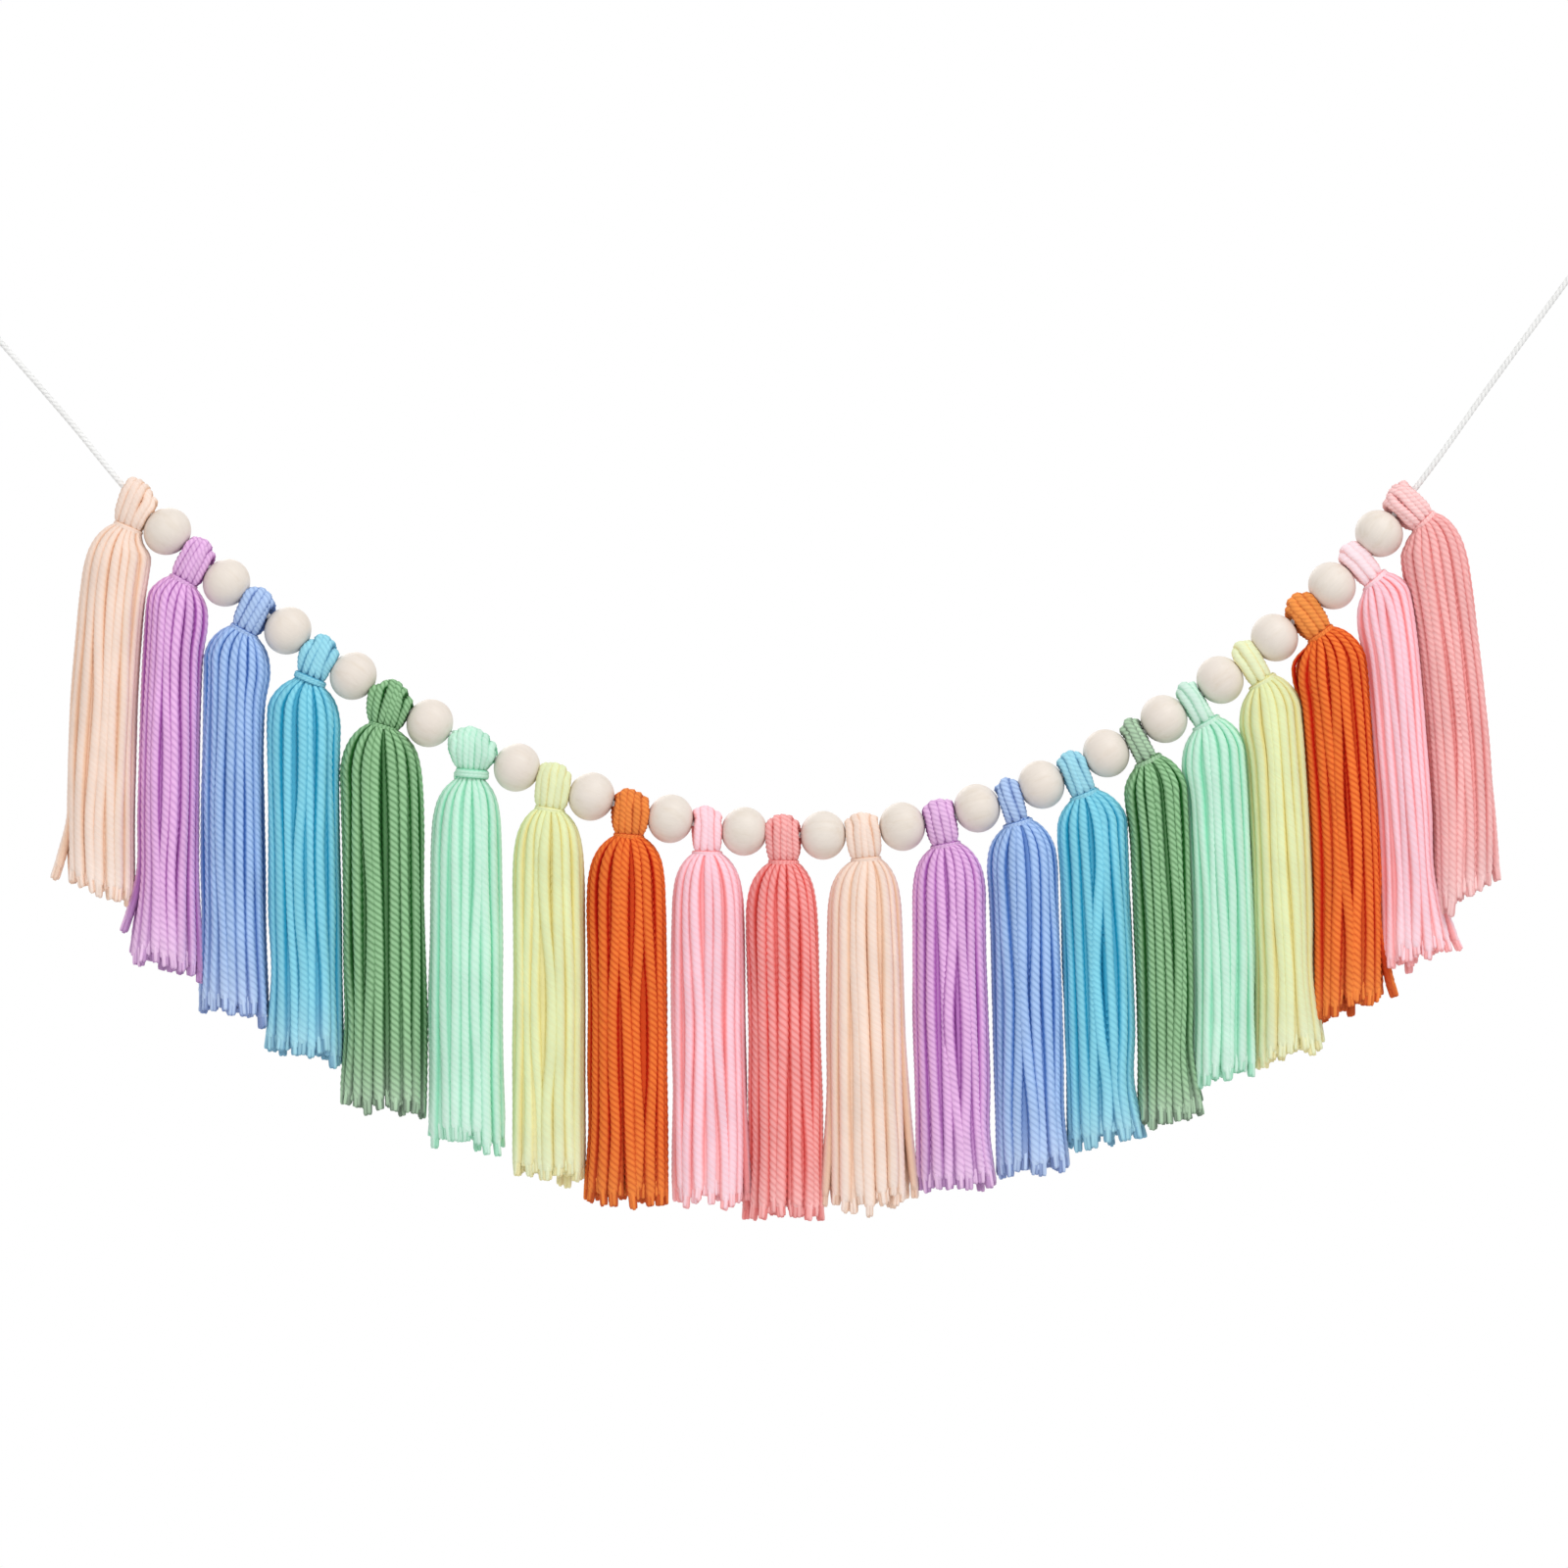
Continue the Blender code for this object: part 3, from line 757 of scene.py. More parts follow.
# The least and most of a tone that varies
STRAND_TONES = (0.95, 1.05)
DYE_TONES = (0.96, 1.04)
PORE_TONES = (0.985, 1.01)
FLOOR_TONES = (0.90, 0.93)
YARN_ROUGHNESS = (0.80, 0.96)
WOOD_ROUGHNESS = (0.42, 0.55)
# Where a grain line begins and is full, and how much of its colour shows then
GRAIN_LINE = (0.45, 0.80)
GRAIN_SHARE = 0.85
YARN_RELIEF_DEPTH = 0.0003
WOOD_RELIEF, WOOD_RELIEF_DEPTH = 0.12, 0.0001
YARN_GLOSS, WOOD_GLOSS = 0.10, 0.35
SHEEN, SHEEN_ROUGHNESS = 0.15, 0.45


def add_node(tree, kind, inputs=None, **settings):
    """A node with its settings, and its sockets set to values or linked to other sockets."""
    node = tree.nodes.new(kind)
    for key, value in settings.items():
        setattr(node, key, value)
    for key, value in (inputs or {}).items():
        socket = node.inputs[key]
        if isinstance(value, bpy.types.NodeSocket):
            tree.links.new(value, socket)
        elif socket.type == "RGBA" and len(value) == 3:
            socket.default_value = (*value, 1.0)
        else:
            socket.default_value = value
    return node


def maths(tree, operation, a, b=0.0):
    return add_node(tree, "ShaderNodeMath", {0: a, 1: b}, operation=operation).outputs[0]


def mix_colours(tree, share, a, b, blend="MIX"):
    sockets = {0: share, 6: a, 7: b}
    return add_node(tree, "ShaderNodeMix", sockets, data_type="RGBA", blend_type=blend).outputs[2]


def remap(tree, value, low, high, to_low, to_high, smooth=False):
    node = add_node(
        tree, "ShaderNodeMapRange",
        {"Value": value, "From Min": low, "From Max": high, "To Min": to_low, "To Max": to_high},
        interpolation_type="SMOOTHSTEP" if smooth else "LINEAR",
    )
    return node.outputs["Result"]


def stretched(tree, vector, shares):
    sockets = {0: vector, 1: shares}
    return add_node(tree, "ShaderNodeVectorMath", sockets, operation="MULTIPLY").outputs[0]


def noise(tree, scale, detail, vector=None, roughness=0.5):
    sockets = {"Scale": scale, "Detail": detail, "Roughness": roughness}
    if vector is not None:
        sockets["Vector"] = vector
    return add_node(tree, "ShaderNodeTexNoise", sockets).outputs[0]


def grey(tree, value):
    return add_node(tree, "ShaderNodeCombineColor", {0: value, 1: value, 2: value}).outputs[0]


def attribute(tree, name, output):
    return add_node(tree, "ShaderNodeAttribute", attribute_name=name).outputs[output]


def seen_share(tree):
    """1 where the camera or a reflection sees a surface, 0 where it only lights others."""
    path = tree.nodes.new("ShaderNodeLightPath")
    seen = path.outputs["Is Camera Ray"]
    for kind in ("Is Transmission Ray", "Is Glossy Ray"):
        seen = maths(tree, "MAXIMUM", seen, path.outputs[kind])
    return seen


def new_pattern_group(name, inputs):
    """A node group that puts out a colour, a roughness and a height."""
    tree = bpy.data.node_groups.new(name, "ShaderNodeTree")
    for label, kind in inputs:
        tree.interface.new_socket(name=label, in_out="INPUT", socket_type=kind)
    for label, kind in (("Color", COLOUR), ("Roughness", NUMBER), ("Height", NUMBER)):
        tree.interface.new_socket(name=label, in_out="OUTPUT", socket_type=kind)
    return tree, tree.nodes.new("NodeGroupInput").outputs


def put_out(tree, colour, roughness, height):
    sockets = {"Color": colour, "Roughness": roughness, "Height": height}
    add_node(tree, "NodeGroupOutput", sockets)
    return tree


def spun_fibre_group():
    """Spun yarn: lit ridges, painted shade in the valleys between plies and strands, paling toward
    a pale tone, fibre streaks and uneven dye. It is built once.
    """
    if "Spun fibre" in bpy.data.node_groups:
        return bpy.data.node_groups["Spun fibre"]
    tree, source = new_pattern_group(
        "Spun fibre",
        [("Ridge", COLOUR), ("Valley", COLOUR), ("Tuck", NUMBER), ("Groove", NUMBER),
         ("Strand", NUMBER), ("Fade", NUMBER), ("Faded", COLOUR), ("Fibre", VECTOR),
         ("Streaks", NUMBER)],
    )
    # Painted shade between strands and in the grooves between plies, mixed toward the valley's
    # shade colour
    between_shade = remap(tree, source["Tuck"], *TUCK_SHADE, 0.0, 1.0, smooth=True)
    valley = maths(tree, "POWER", source["Groove"], GROOVE_SHARPNESS)
    shade = maths(tree, "MAXIMUM", between_shade, maths(tree, "MULTIPLY", valley, GROOVE_SHADE))
    ridge_and_shade = mix_colours(tree, shade, source["Ridge"], source["Valley"])
    # Paler toward the pale tone where a strand is painted paler; on the heads and on one whole
    # tassel this is painted light
    base = mix_colours(tree, source["Fade"], ridge_and_shade, source["Faded"])
    along_fibre = stretched(tree, source["Fibre"], FIBRE_SCALES)
    streaks = noise(tree, *STREAK_NOISE, along_fibre, roughness=STREAK_NOISE_ROUGHNESS)
    place_of = add_node(tree, "ShaderNodeTexCoord").outputs["Object"]
    dye = noise(tree, *DYE_NOISE, place_of)
    fluff = noise(tree, *FLUFF_NOISE, place_of)
    streak = maths(tree, "SUBTRACT", streaks, 0.5)
    gain = maths(tree, "MULTIPLY_ADD", streak, source["Streaks"])
    gain.node.inputs[2].default_value = 1.0
    gain = maths(tree, "MULTIPLY", gain, remap(tree, source["Strand"], 0.0, 1.0, *STRAND_TONES))
    gain = maths(tree, "MULTIPLY", gain, remap(tree, dye, *NOISE_RANGE, *DYE_TONES))
    colour = mix_colours(tree, 1.0, base, grey(tree, gain), "MULTIPLY")
    rough = remap(tree, streaks, *NOISE_RANGE, *YARN_ROUGHNESS)
    fuzz = maths(
        tree, "ADD",
        maths(tree, "MULTIPLY", streaks, STREAK_RELIEF),
        maths(tree, "MULTIPLY", fluff, FLUFF_RELIEF),
    )
    return put_out(tree, colour, rough, maths(tree, "SUBTRACT", fuzz, valley))


def turned_wood_group():
    """Pale turned wood, its grain along the bore."""
    tree, source = new_pattern_group(
        "Turned wood", [("Wood", COLOUR), ("Grain", COLOUR), ("Place", VECTOR)]
    )
    along_grain = stretched(tree, source["Place"], GRAIN_SCALES)
    bands = noise(tree, *BAND_NOISE, along_grain, roughness=BAND_NOISE_ROUGHNESS)
    pores = noise(tree, *PORE_NOISE, along_grain)
    share = remap(tree, bands, *GRAIN_LINE, 0.0, GRAIN_SHARE, smooth=True)
    base = mix_colours(tree, share, source["Wood"], source["Grain"])
    fine = grey(tree, remap(tree, pores, *PORE_RANGE, *PORE_TONES))
    colour = mix_colours(tree, 1.0, base, fine, "MULTIPLY")
    rough = remap(tree, bands, *NOISE_RANGE, *WOOD_ROUGHNESS)
    height = maths(tree, "ADD", bands, maths(tree, "MULTIPLY", pores, PORE_RELIEF))
    return put_out(tree, colour, rough, height)


def start_material(name):
    material = bpy.data.materials.new(name)
    material.use_nodes = True
    tree = material.node_tree
    return material, tree, tree.nodes["Principled BSDF"]


def feed_shader(tree, shader, group, sockets, relief, relief_depth, gloss):
    """Places a pattern group and feeds what it puts out to the shader."""
    pattern = add_node(tree, "ShaderNodeGroup", sockets, node_tree=group)
    bump = add_node(
        tree, "ShaderNodeBump",
        {"Height": pattern.outputs["Height"], "Strength": relief, "Distance": relief_depth},
    )
    tree.links.new(pattern.outputs["Color"], shader.inputs["Base Color"])
    tree.links.new(pattern.outputs["Roughness"], shader.inputs["Roughness"])
    tree.links.new(bump.outputs["Normal"], shader.inputs["Normal"])
    shader.inputs["Specular IOR Level"].default_value = gloss


def spun_material(name, ridge, valley, pale_tone, streaks, relief):
    """Yarn or cord: the shared fibre group on a soft, sheeny shader."""
    material, tree, shader = start_material(name)
    sockets = {"Ridge": ridge, "Valley": valley, "Faded": pale_tone, "Streaks": streaks}
    for label in ("Tuck", "Groove", "Strand", "Fade"):
        sockets[label] = attribute(tree, label.lower(), "Fac")
    sockets["Fibre"] = attribute(tree, "fibre", "Vector")
    feed_shader(
        tree, shader, spun_fibre_group(), sockets, relief, YARN_RELIEF_DEPTH, YARN_GLOSS
    )
    shader.inputs["Sheen Weight"].default_value = SHEEN
    shader.inputs["Sheen Roughness"].default_value = SHEEN_ROUGHNESS
    shader.inputs["Sheen Tint"].default_value = (*ridge, 1.0)
    return material


def wood_material(settings):
    material, tree, shader = start_material("turned_wood")
    sockets = {
        "Wood": settings.wood_colour, "Grain": settings.grain_colour,
        "Place": attribute(tree, "grain_place", "Vector"),
    }
    feed_shader(
        tree, shader, turned_wood_group(), sockets, WOOD_RELIEF, WOOD_RELIEF_DEPTH, WOOD_GLOSS
    )
    return material


# ---------------------------------------------------------------- stage


def aim(obj, target):
    obj.rotation_euler = (Vector(target) - obj.location).to_track_quat("-Z", "Y").to_euler()


def add_lamp(name, where, size, power):
    data = bpy.data.lights.new(name, "AREA")
    data.shape = "DISK"
    data.size = size
    data.energy = power
    lamp = bpy.data.objects.new(name, data)
    lamp.location = where
    bpy.context.scene.collection.objects.link(lamp)
    aim(lamp, VIEW_CENTRE)


class GARLAND_OT_stage(bpy.types.Operator):
    """Sets the camera, the soft lights, the white room and the pale floor"""

    bl_idname = "garland.stage"
    bl_label = "Set the stage"

    def execute(self, context):
        settings = context.scene.garland_stage
        data = bpy.data.cameras.new("camera")
        data.lens = LENS
        data.sensor_width = SENSOR
        camera = bpy.data.objects.new("camera", data)
        camera.location = VIEW_CENTRE - Vector((0.0, VIEW_WIDTH * LENS / SENSOR, 0.0))
        context.scene.collection.objects.link(camera)
        aim(camera, VIEW_CENTRE)
        context.scene.camera = camera
        for name, (where, size) in LAMPS.items():
            power = getattr(settings, name + "_power")
            add_lamp(name + "_light", VIEW_CENTRE + Vector(where), size, power)
        self.light_room(context.scene, settings.room_light)
        self.lay_floor()
        context.scene.view_settings.view_transform = "Standard"
        return {"FINISHED"}

    def light_room(self, scene, strength):
        """Even light on the object, and plain white where the room itself is seen."""
        world = scene.world or bpy.data.worlds.new("room")
        scene.world = world
        world.use_nodes = True
        tree = world.node_tree
        tree.nodes.clear()
        level = remap(tree, seen_share(tree), 0.0, 1.0, strength, 1.0)
        sockets = {"Color": (1.0, 1.0, 1.0), "Strength": level}
        light = add_node(tree, "ShaderNodeBackground", sockets).outputs[0]
        add_node(tree, "ShaderNodeOutputWorld", {"Surface": light})

    def lay_floor(self):
        deselect()
        bpy.ops.mesh.primitive_circle_add(
            vertices=FLOOR_SIDES, radius=FLOOR_RADIUS, fill_type="NGON"
        )
        floor = bpy.context.object
        floor.name = "floor"
        place(floor, Matrix.Translation(VIEW_CENTRE - Vector((0.0, 0.0, FLOOR_DEPTH))))
        material, tree, shader = start_material("pale_floor")
        tone = grey(tree, remap(tree, noise(tree, *FLOOR_NOISE), *NOISE_RANGE, *FLOOR_TONES))
        tree.links.new(tone, shader.inputs["Base Color"])
        shader.inputs["Roughness"].default_value = FLOOR_ROUGHNESS
        glow = maths(tree, "MULTIPLY", seen_share(tree), FLOOR_GLOW)
        shader.inputs["Emission Color"].default_value = (1.0, 1.0, 1.0, 1.0)
        tree.links.new(glow, shader.inputs["Emission Strength"])
        give(floor, material)


# ---------------------------------------------------------------- cord


def knot_loop_points(knot, outward):
    """The hanging loop's centre line: out of the knot, round the hook and back into the knot."""
    side = square_to(outward)
    leg = CORD_WIDTH / 2 + LOOP_LEG_GAP / 2
    reach = LOOP_LENGTH + CORD_WIDTH / 2
    points = []
    for k in range(LOOP_STEPS + 1):
        turn = math.pi * k / LOOP_STEPS
        across = LOOP_WIDTH / 2 * math.sin(2 * turn) + leg * math.cos(turn)
        points.append(knot + outward * (reach * math.sin(turn)) + side * across)
    return points


def knot_wrap_points(knot, outward):
    """The knot's turns: a short coil of the cord's own width round the line it closes on."""
    side = square_to(outward)
    depth = outward.cross(side)
    reach = KNOT_LENGTH - CORD_WIDTH
    points = []
    for k in range(KNOT_STEPS + 1):
        angle = math.tau * KNOT_TURNS * k / KNOT_STEPS
        aside = (side * math.cos(angle) + depth * math.sin(angle)) * CORD_WIDTH
        points.append(knot + outward * (reach * (k / KNOT_STEPS - 0.5)) + aside)
    return points


class GARLAND_OT_cord(bpy.types.Operator):
    """Lays the twisted cord: the strung stretch, both free ends, their knots and hanging loops"""

    bl_idname = "garland.cord"
    bl_label = "Hang the cord"

    def execute(self, context):
        settings = context.scene.garland_cord
        colour = tuple(settings.cord_colour)
        shade = tuple(CORD_SHADE * c for c in colour)
        self.material = spun_material("twisted_cord", colour, shade, WHITE, **CORD_FINISH)
        self.chance = random.Random(BUNDLE_SEED)
        self.pitch = settings.lay_pitch
        curve = HangingCurve()
        heads, _ = threading()
        first = heads[0] - head_width(0) / 2
        last = heads[-1] + head_width(TASSELS - 1) / 2
        strung = self.lay("strung_cord", self.stretch(curve, first, last))
        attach(strung, "cord")
        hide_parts("cord")
        self.free_end(curve, "left", first, 0.0, -1.0)
        self.free_end(curve, "right", last, curve.length, 1.0)
        return {"FINISHED"}

    def stretch(self, curve, start, end):
        count = max(int(abs(end - start) / CORD_STEP), CORD_LEAST_STEPS)
        return [curve.at(start + (end - start) * k / count)[0] for k in range(count + 1)]

    def lay(self, name, points):
        """A twisted three-strand line along the points."""
        line = smooth_line(points, CORD_POINTS_A_STEP * len(points))
        rings_a_turn = CORD_STRANDS * CORD_RINGS
        rings = max(int(arc_lengths(line)[-1] / self.pitch * rings_a_turn), rings_a_turn)
        pattern = model_twisted_length(
            name + "_pattern", CORD_STRANDS, CORD_GROOVE, rings, CORD_RINGS,
            sides_per_lobe=CORD_LOBE_SIDES,
        )
        half = CORD_WIDTH / 2
        piece = lay_length(pattern, line, (0.0, -1.0, 0.0), half, half, self.chance)
        drop(pattern)
        # The cord gets no painted shade between its strands
        point_values(piece.data, "tuck", np.zeros(len(piece.data.vertices)))
        rename(piece, name)
        give(piece, self.material)
        return piece

    def free_end(self, curve, side, near, far, sign):
        """The cord past the last tassel, through its knot and round the hanging loop."""
        knot, direction = curve.at(far)
        outward = direction * sign
        points = self.stretch(curve, near, far)[:-1] + knot_loop_points(knot, outward)
        end = self.lay(f"{side}_free_cord", points)
        wrap = self.lay(f"{side}_knot", knot_wrap_points(knot, outward))
        for piece in (end, wrap):
            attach(piece, "cord")
            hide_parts("cord")


# ---------------------------------------------------------------- beads


class GARLAND_OT_beads(bpy.types.Operator):
    """Turns one bored wooden bead and threads a copy at each place along the cord"""

    bl_idname = "garland.beads"
    bl_label = "Thread the beads"

    def execute(self, context):
        material = wood_material(context.scene.garland_bead)
        pattern = self.turn_bead()
        curve = HangingCurve()
        _, places = threading()
        chance = random.Random(BUNDLE_SEED + 1)
        local = coordinates(pattern.data)
        for number, distance in enumerate(places, start=1):
            centre, direction = curve.at(distance)
            bead = copy_of(pattern)
            rename(bead, f"turned_bead_{number:02d}")
            offset = np.array([chance.random() for _ in range(3)]) * GRAIN_SHIFT
            point_values(bead.data, "grain_place", local + offset)
            roll = Matrix.Rotation(math.tau * chance.random(), 4, "Z")
            turn = direction.to_track_quat("Z", "Y").to_matrix().to_4x4()
            place(bead, Matrix.Translation(centre) @ turn @ roll)
            give(bead, material)
            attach(bead, f"bead_{number:02d}")
            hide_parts(f"bead_{number:02d}")
        drop(pattern)
        return {"FINISHED"}

    def turn_bead(self):
        """A sphere drawn to size on Z, its poles opened, dished to lips and joined by the bore."""
        bore, ends = BEAD_BORE / 2, (1.0, -1.0)
        deselect()
        bpy.ops.mesh.primitive_uv_sphere_add(
            segments=BEAD_SEGMENTS, ring_count=BEAD_RINGS, radius=BEAD_DIAMETER / 2
        )
        bead = bpy.context.object
        bead.name = "bead_pattern"
        place(bead, Matrix.Diagonal((1.0, 1.0, BEAD_LENGTH / BEAD_DIAMETER, 1.0)))
        edit_points(bead, lambda co: co.xy.length < POLE_OPENING * bore)
        bpy.ops.mesh.delete(type="VERT")
        for end in ends:
            self.select_rims(bead, (end,))
            self.draw_rim(bead, LIP_HEIGHT * end, LIP_OPENING * bore)
            self.draw_rim(bead, -LIP_DEPTH * end, bore)
        self.select_rims(bead, ends)
        bpy.ops.mesh.bridge_edge_loops()
        bpy.ops.object.mode_set(mode="OBJECT")
        turn_faces_out(bead)
        bead.data.shade_smooth()
        return bead

    def select_rims(self, bead, ends):
        """Selects the open edges at the given ends, 1 for the upper and -1 for the lower."""
        bpy.ops.mesh.select_mode(type="EDGE")
        bm = bmesh.from_edit_mesh(bead.data)
        for edge in bm.edges:
            height = edge.verts[0].co.z + edge.verts[1].co.z
            edge.select = edge.is_boundary and any(height * end > 0 for end in ends)
        bmesh.update_edit_mesh(bead.data)

    def draw_rim(self, bead, rise, radius):
        """Extrudes the selected rim by a rise and draws it to a radius round the bore."""
        bpy.ops.mesh.extrude_region_move(TRANSFORM_OT_translate={"value": (0.0, 0.0, rise)})
        bm = bmesh.from_edit_mesh(bead.data)
        chosen = [vertex.co.xy.length for vertex in bm.verts if vertex.select]
        share = radius / (sum(chosen) / len(chosen))
        bpy.ops.transform.resize(value=(share, share, 1.0), center_override=(0.0, 0.0, 0.0))


# ---------------------------------------------------------------- tassels


def squared_off(share):
    """A sine or cosine drawn out, which makes an outline fuller at its corners."""
    return math.copysign(abs(share) ** ROUNDING, share)


def in_bead(vector, direction):
    """A vector seen from a bead, in whose frame the bead and its clearance have radius 1."""
    half, high = BEAD_LENGTH / 2 + BEAD_CLEARANCE, BEAD_DIAMETER / 2 + BEAD_CLEARANCE
    upward = square_to(direction)
    return Vector((vector.dot(direction) / half, vector.y / high, vector.dot(upward) / high))


def skirt_half(full_half, drop_length, skirt):
    """Half width or depth of the bundle below the neck: a round shoulder, then a slow flare."""
    body = BODY_SHARE * full_half
    flare = (full_half - body) * max(drop_length, 0.0) / skirt
    return between(SHOULDER_START, body, eased(drop_length, SHOULDER_LENGTH)) + flare


class Tassel:
    """Where one tassel's yarn runs. Places are in the part's frame."""

    def __init__(self, i, point, direction, beads):
        self.index = i
        self.point = point
        self.beads = beads
        slope = math.atan2(direction.z, direction.x)
        self.tilt = HEAD_TILT_SHARES[i] * slope
        self.shear = math.tan(slope - self.tilt)
        self.ball = HEAD_BALLS[i]
        self.band = BROAD_TIES.get(i, 0.0)
        self.stout = NECK_GROWTH * self.band
        # Painted light: how much paler the whole tassel is painted, and how much more its head
        self.fade = PAINTED_PALING.get(i, 0.0)
        self.fold_paling = self.fade + FOLD_PAINTED_LIGHT[i]
        self.across = turned(self.tilt)
        self.down = -square_to(self.across)
        self.neck = point + self.down * NECK_DROP
        self.half_head = head_width(i) / 2
        self.hang = math.tan(math.radians(SKIRT_LEANS[i]))
        self.kick = math.tan(self.tilt) - self.hang
        self.skirt = SKIRT_LENGTH * SKIRT_LENGTH_SHARES[i] + SKIRT_EXTRAS[i]
        self.slant = -HEM_SLANT * math.tan(slope) * SKIRT_WIDTH / 2
        self.aside, self.curl, self.girth = SKIRT_SHIFTS[i], SKIRT_CURLS[i], SKIRT_GIRTHS[i]

    def skirt_centre(self, drop_length):
        shift = self.kick * BEND_LENGTH * eased(drop_length, BEND_LENGTH)
        shift += self.hang * drop_length
        shift += self.aside * eased(drop_length, SHIFT_LENGTH)
        shift += self.curl * (max(drop_length, 0.0) / self.skirt) ** 3
        return self.neck + Vector((shift, 0.0, -drop_length))

    def skirt_across(self, drop_length):
        bend = self.kick * (1.0 - eased(drop_length, BEND_LENGTH))
        return turned(math.atan(bend + self.hang))

    def centre_at_height(self, z):
        return self.skirt_centre(max(self.neck.z - z, 0.0)).x

    def room(self, start, side, most):
        """How far yarn may lie from a place along a side direction before it meets a bead."""
        for bead, direction in self.beads:
            a, b = in_bead(start - bead, direction), in_bead(side, direction)
            middle = a.dot(b)
            spread = middle**2 - b.length_squared * (a.length_squared - 1)
            if spread > 0 and middle < 0:
                most = min(most, (-middle - math.sqrt(spread)) / b.length_squared)
        return max(most, 0.0)


class GARLAND_OT_tassels(bpy.types.Operator):
    """Folds, ties and hangs each tassel strand by strand"""

    bl_idname = "garland.tassels"
    bl_label = "Make the tassels"

    def execute(self, context):
        self.yarn = context.scene.garland_yarn
        materials = [
            spun_material(
                name + "_yarn", ridge, valley, PALE_TONES.get(name, WHITE), **YARN_FINISH
            )
            for name, ridge, valley in YARNS
        ]
        patterns = {shown: self.model_patterns(shown) for shown in {1.0, *SOFT_YARNS.values()}}
        curve = HangingCurve()
        heads, beads = threading()
        beads = [curve.at(distance) for distance in beads]
        self.forms = [
            Tassel(i, *curve.at(distance), beads[max(i - 1, 0) : i + 1])
            for i, distance in enumerate(heads)
        ]
        for form in self.forms:
            dye = form.index % len(YARNS)
            self.patterns = patterns[SOFT_YARNS.get(YARNS[dye][0], 1.0)]
            self.make(form, materials[dye])
        for models in patterns.values():
            for pattern in models.values():
                drop(pattern)
        return {"FINISHED"}

    def model_patterns(self, shown):
        """One straight length for each kind of strand, its plies standing out by what is shown."""
        plies, depth = self.yarn.plies, self.yarn.ply_depth * shown
        step = self.yarn.twist_pitch / (RINGS_A_PLY * plies)
        rings = SKIRT_LENGTH / step

        def twisted(name, lobes, deep, count, **options):
            return model_twisted_length(
                name + "_pattern", lobes, deep, round(count), RINGS_A_PLY, shown=shown, **options
            )

        return {
            "skirt": twisted("skirt", plies, depth, rings),
            "slack": twisted("slack", plies, depth, rings / SLACK_TWIST),
            "behind": twisted("behind", BEHIND_PLIES, depth, rings / BEHIND_TWIST),
            "core": model_twisted_length("core_pattern", plies, 0.0, CORE_RINGS, CORE_RINGS // 2),
            "tuft": model_tuft("tuft_pattern", TUFT_PLIES, random.Random(BUNDLE_SEED)),
            "fold": twisted(
                "fold", plies, FOLD_GROOVE_SHARE * depth, FOLD_SPAN / step, rounded=False
            ),
            "tie": twisted("tie", TIE_PLIES, TIE_GROOVE, TIE_RINGS, rounded=False),
        }

    def make(self, form, material):
        number = form.index + 1
        chance = random.Random(BUNDLE_SEED + SEED_STEP * number)
        strands = self.fold(form, chance) + self.skirt(form, chance) + self.core(form, chance)
        bundle = join(strands, f"yarn_tassel_{number:02d}")
        tie = self.tie(form, chance)
        rename(tie, f"yarn_tie_{number:02d}")
        for piece, node in ((bundle, f"tassel_{number:02d}"), (tie, f"neck_tie_{number:02d}")):
            give(piece, material)
            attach(piece, f"tassel_{number:02d}")
            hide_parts(node)

    def lane(self, form, centre, half):
        """Half widths to the left and right that keep a skirt half way to its neighbours."""
        halves = []
        for side in (-1, 1):
            neighbour = form.index + side
            room = form.room(centre, Vector((side, 0.0, 0.0)), half)
            if 0 <= neighbour < TASSELS:
                other = self.forms[neighbour]
                pitch = abs(other.centre_at_height(centre.z) - centre.x)
                below = clamp((other.neck.z - other.skirt - centre.z) / HEM_CLEARANCE)
                gap = PRESSED_GAP if min(form.index, neighbour) >= PRESSED_FROM else LANE_GAP
                part = form.girth / (form.girth + other.girth)
                room = between(min(room, (pitch - gap) * part), half, below)
            halves.append(room)
        return halves

    def skirt_point(self, form, angle, drop_length, inset):
        """A point of the outline moved in, its outward direction, and the way round there."""
        centre = form.skirt_centre(drop_length)
        across = form.skirt_across(drop_length)
        below = drop_length - form.band
        full = skirt_half(SKIRT_WIDTH / 2 * form.girth, below, form.skirt)
        left, right = self.lane(form, centre, full)
        deep = skirt_half(SKIRT_DEPTH / 2, below, form.skirt)
        c, s = math.cos(angle), math.sin(angle)
        wide = right if c > 0 else left
        x, y = squared_off(c) * (wide - inset), squared_off(s) * (deep - inset)
        point = centre + across * x + Vector((0.0, y, 0.0))
        outward = across * (c / max(wide, LEAST_HALF))
        outward += Vector((0.0, s / max(deep, LEAST_HALF), 0.0))
        girth = math.pi * GIRTH_SHARE * ((left + right) / 2 + deep - 2 * inset)
        return point, outward.normalized(), girth

    def even_angles(self, count):
        """Angles whose points lie evenly round a skirt's flattened outline."""
        angles = np.linspace(0.0, math.tau, OUTLINE_STEPS + 1)
        outline = np.array([
            (squared_off(math.cos(a)) * SKIRT_WIDTH, squared_off(math.sin(a)) * SKIRT_DEPTH)
            for a in angles
        ])
        arc = arc_lengths(outline)
        return list(np.interp(arc[-1] * (np.arange(count) + 0.5) / count, arc, angles))

    def uneven_cut(self, chance):
        """How much longer a strand is than its tassel: little for most, more for a few."""
        share = 1.0 if chance.random() < ODD_CUTS else EVEN_CUT_SHARE
        return self.yarn.hem_raggedness * chance.uniform(-0.5, 0.5) * share

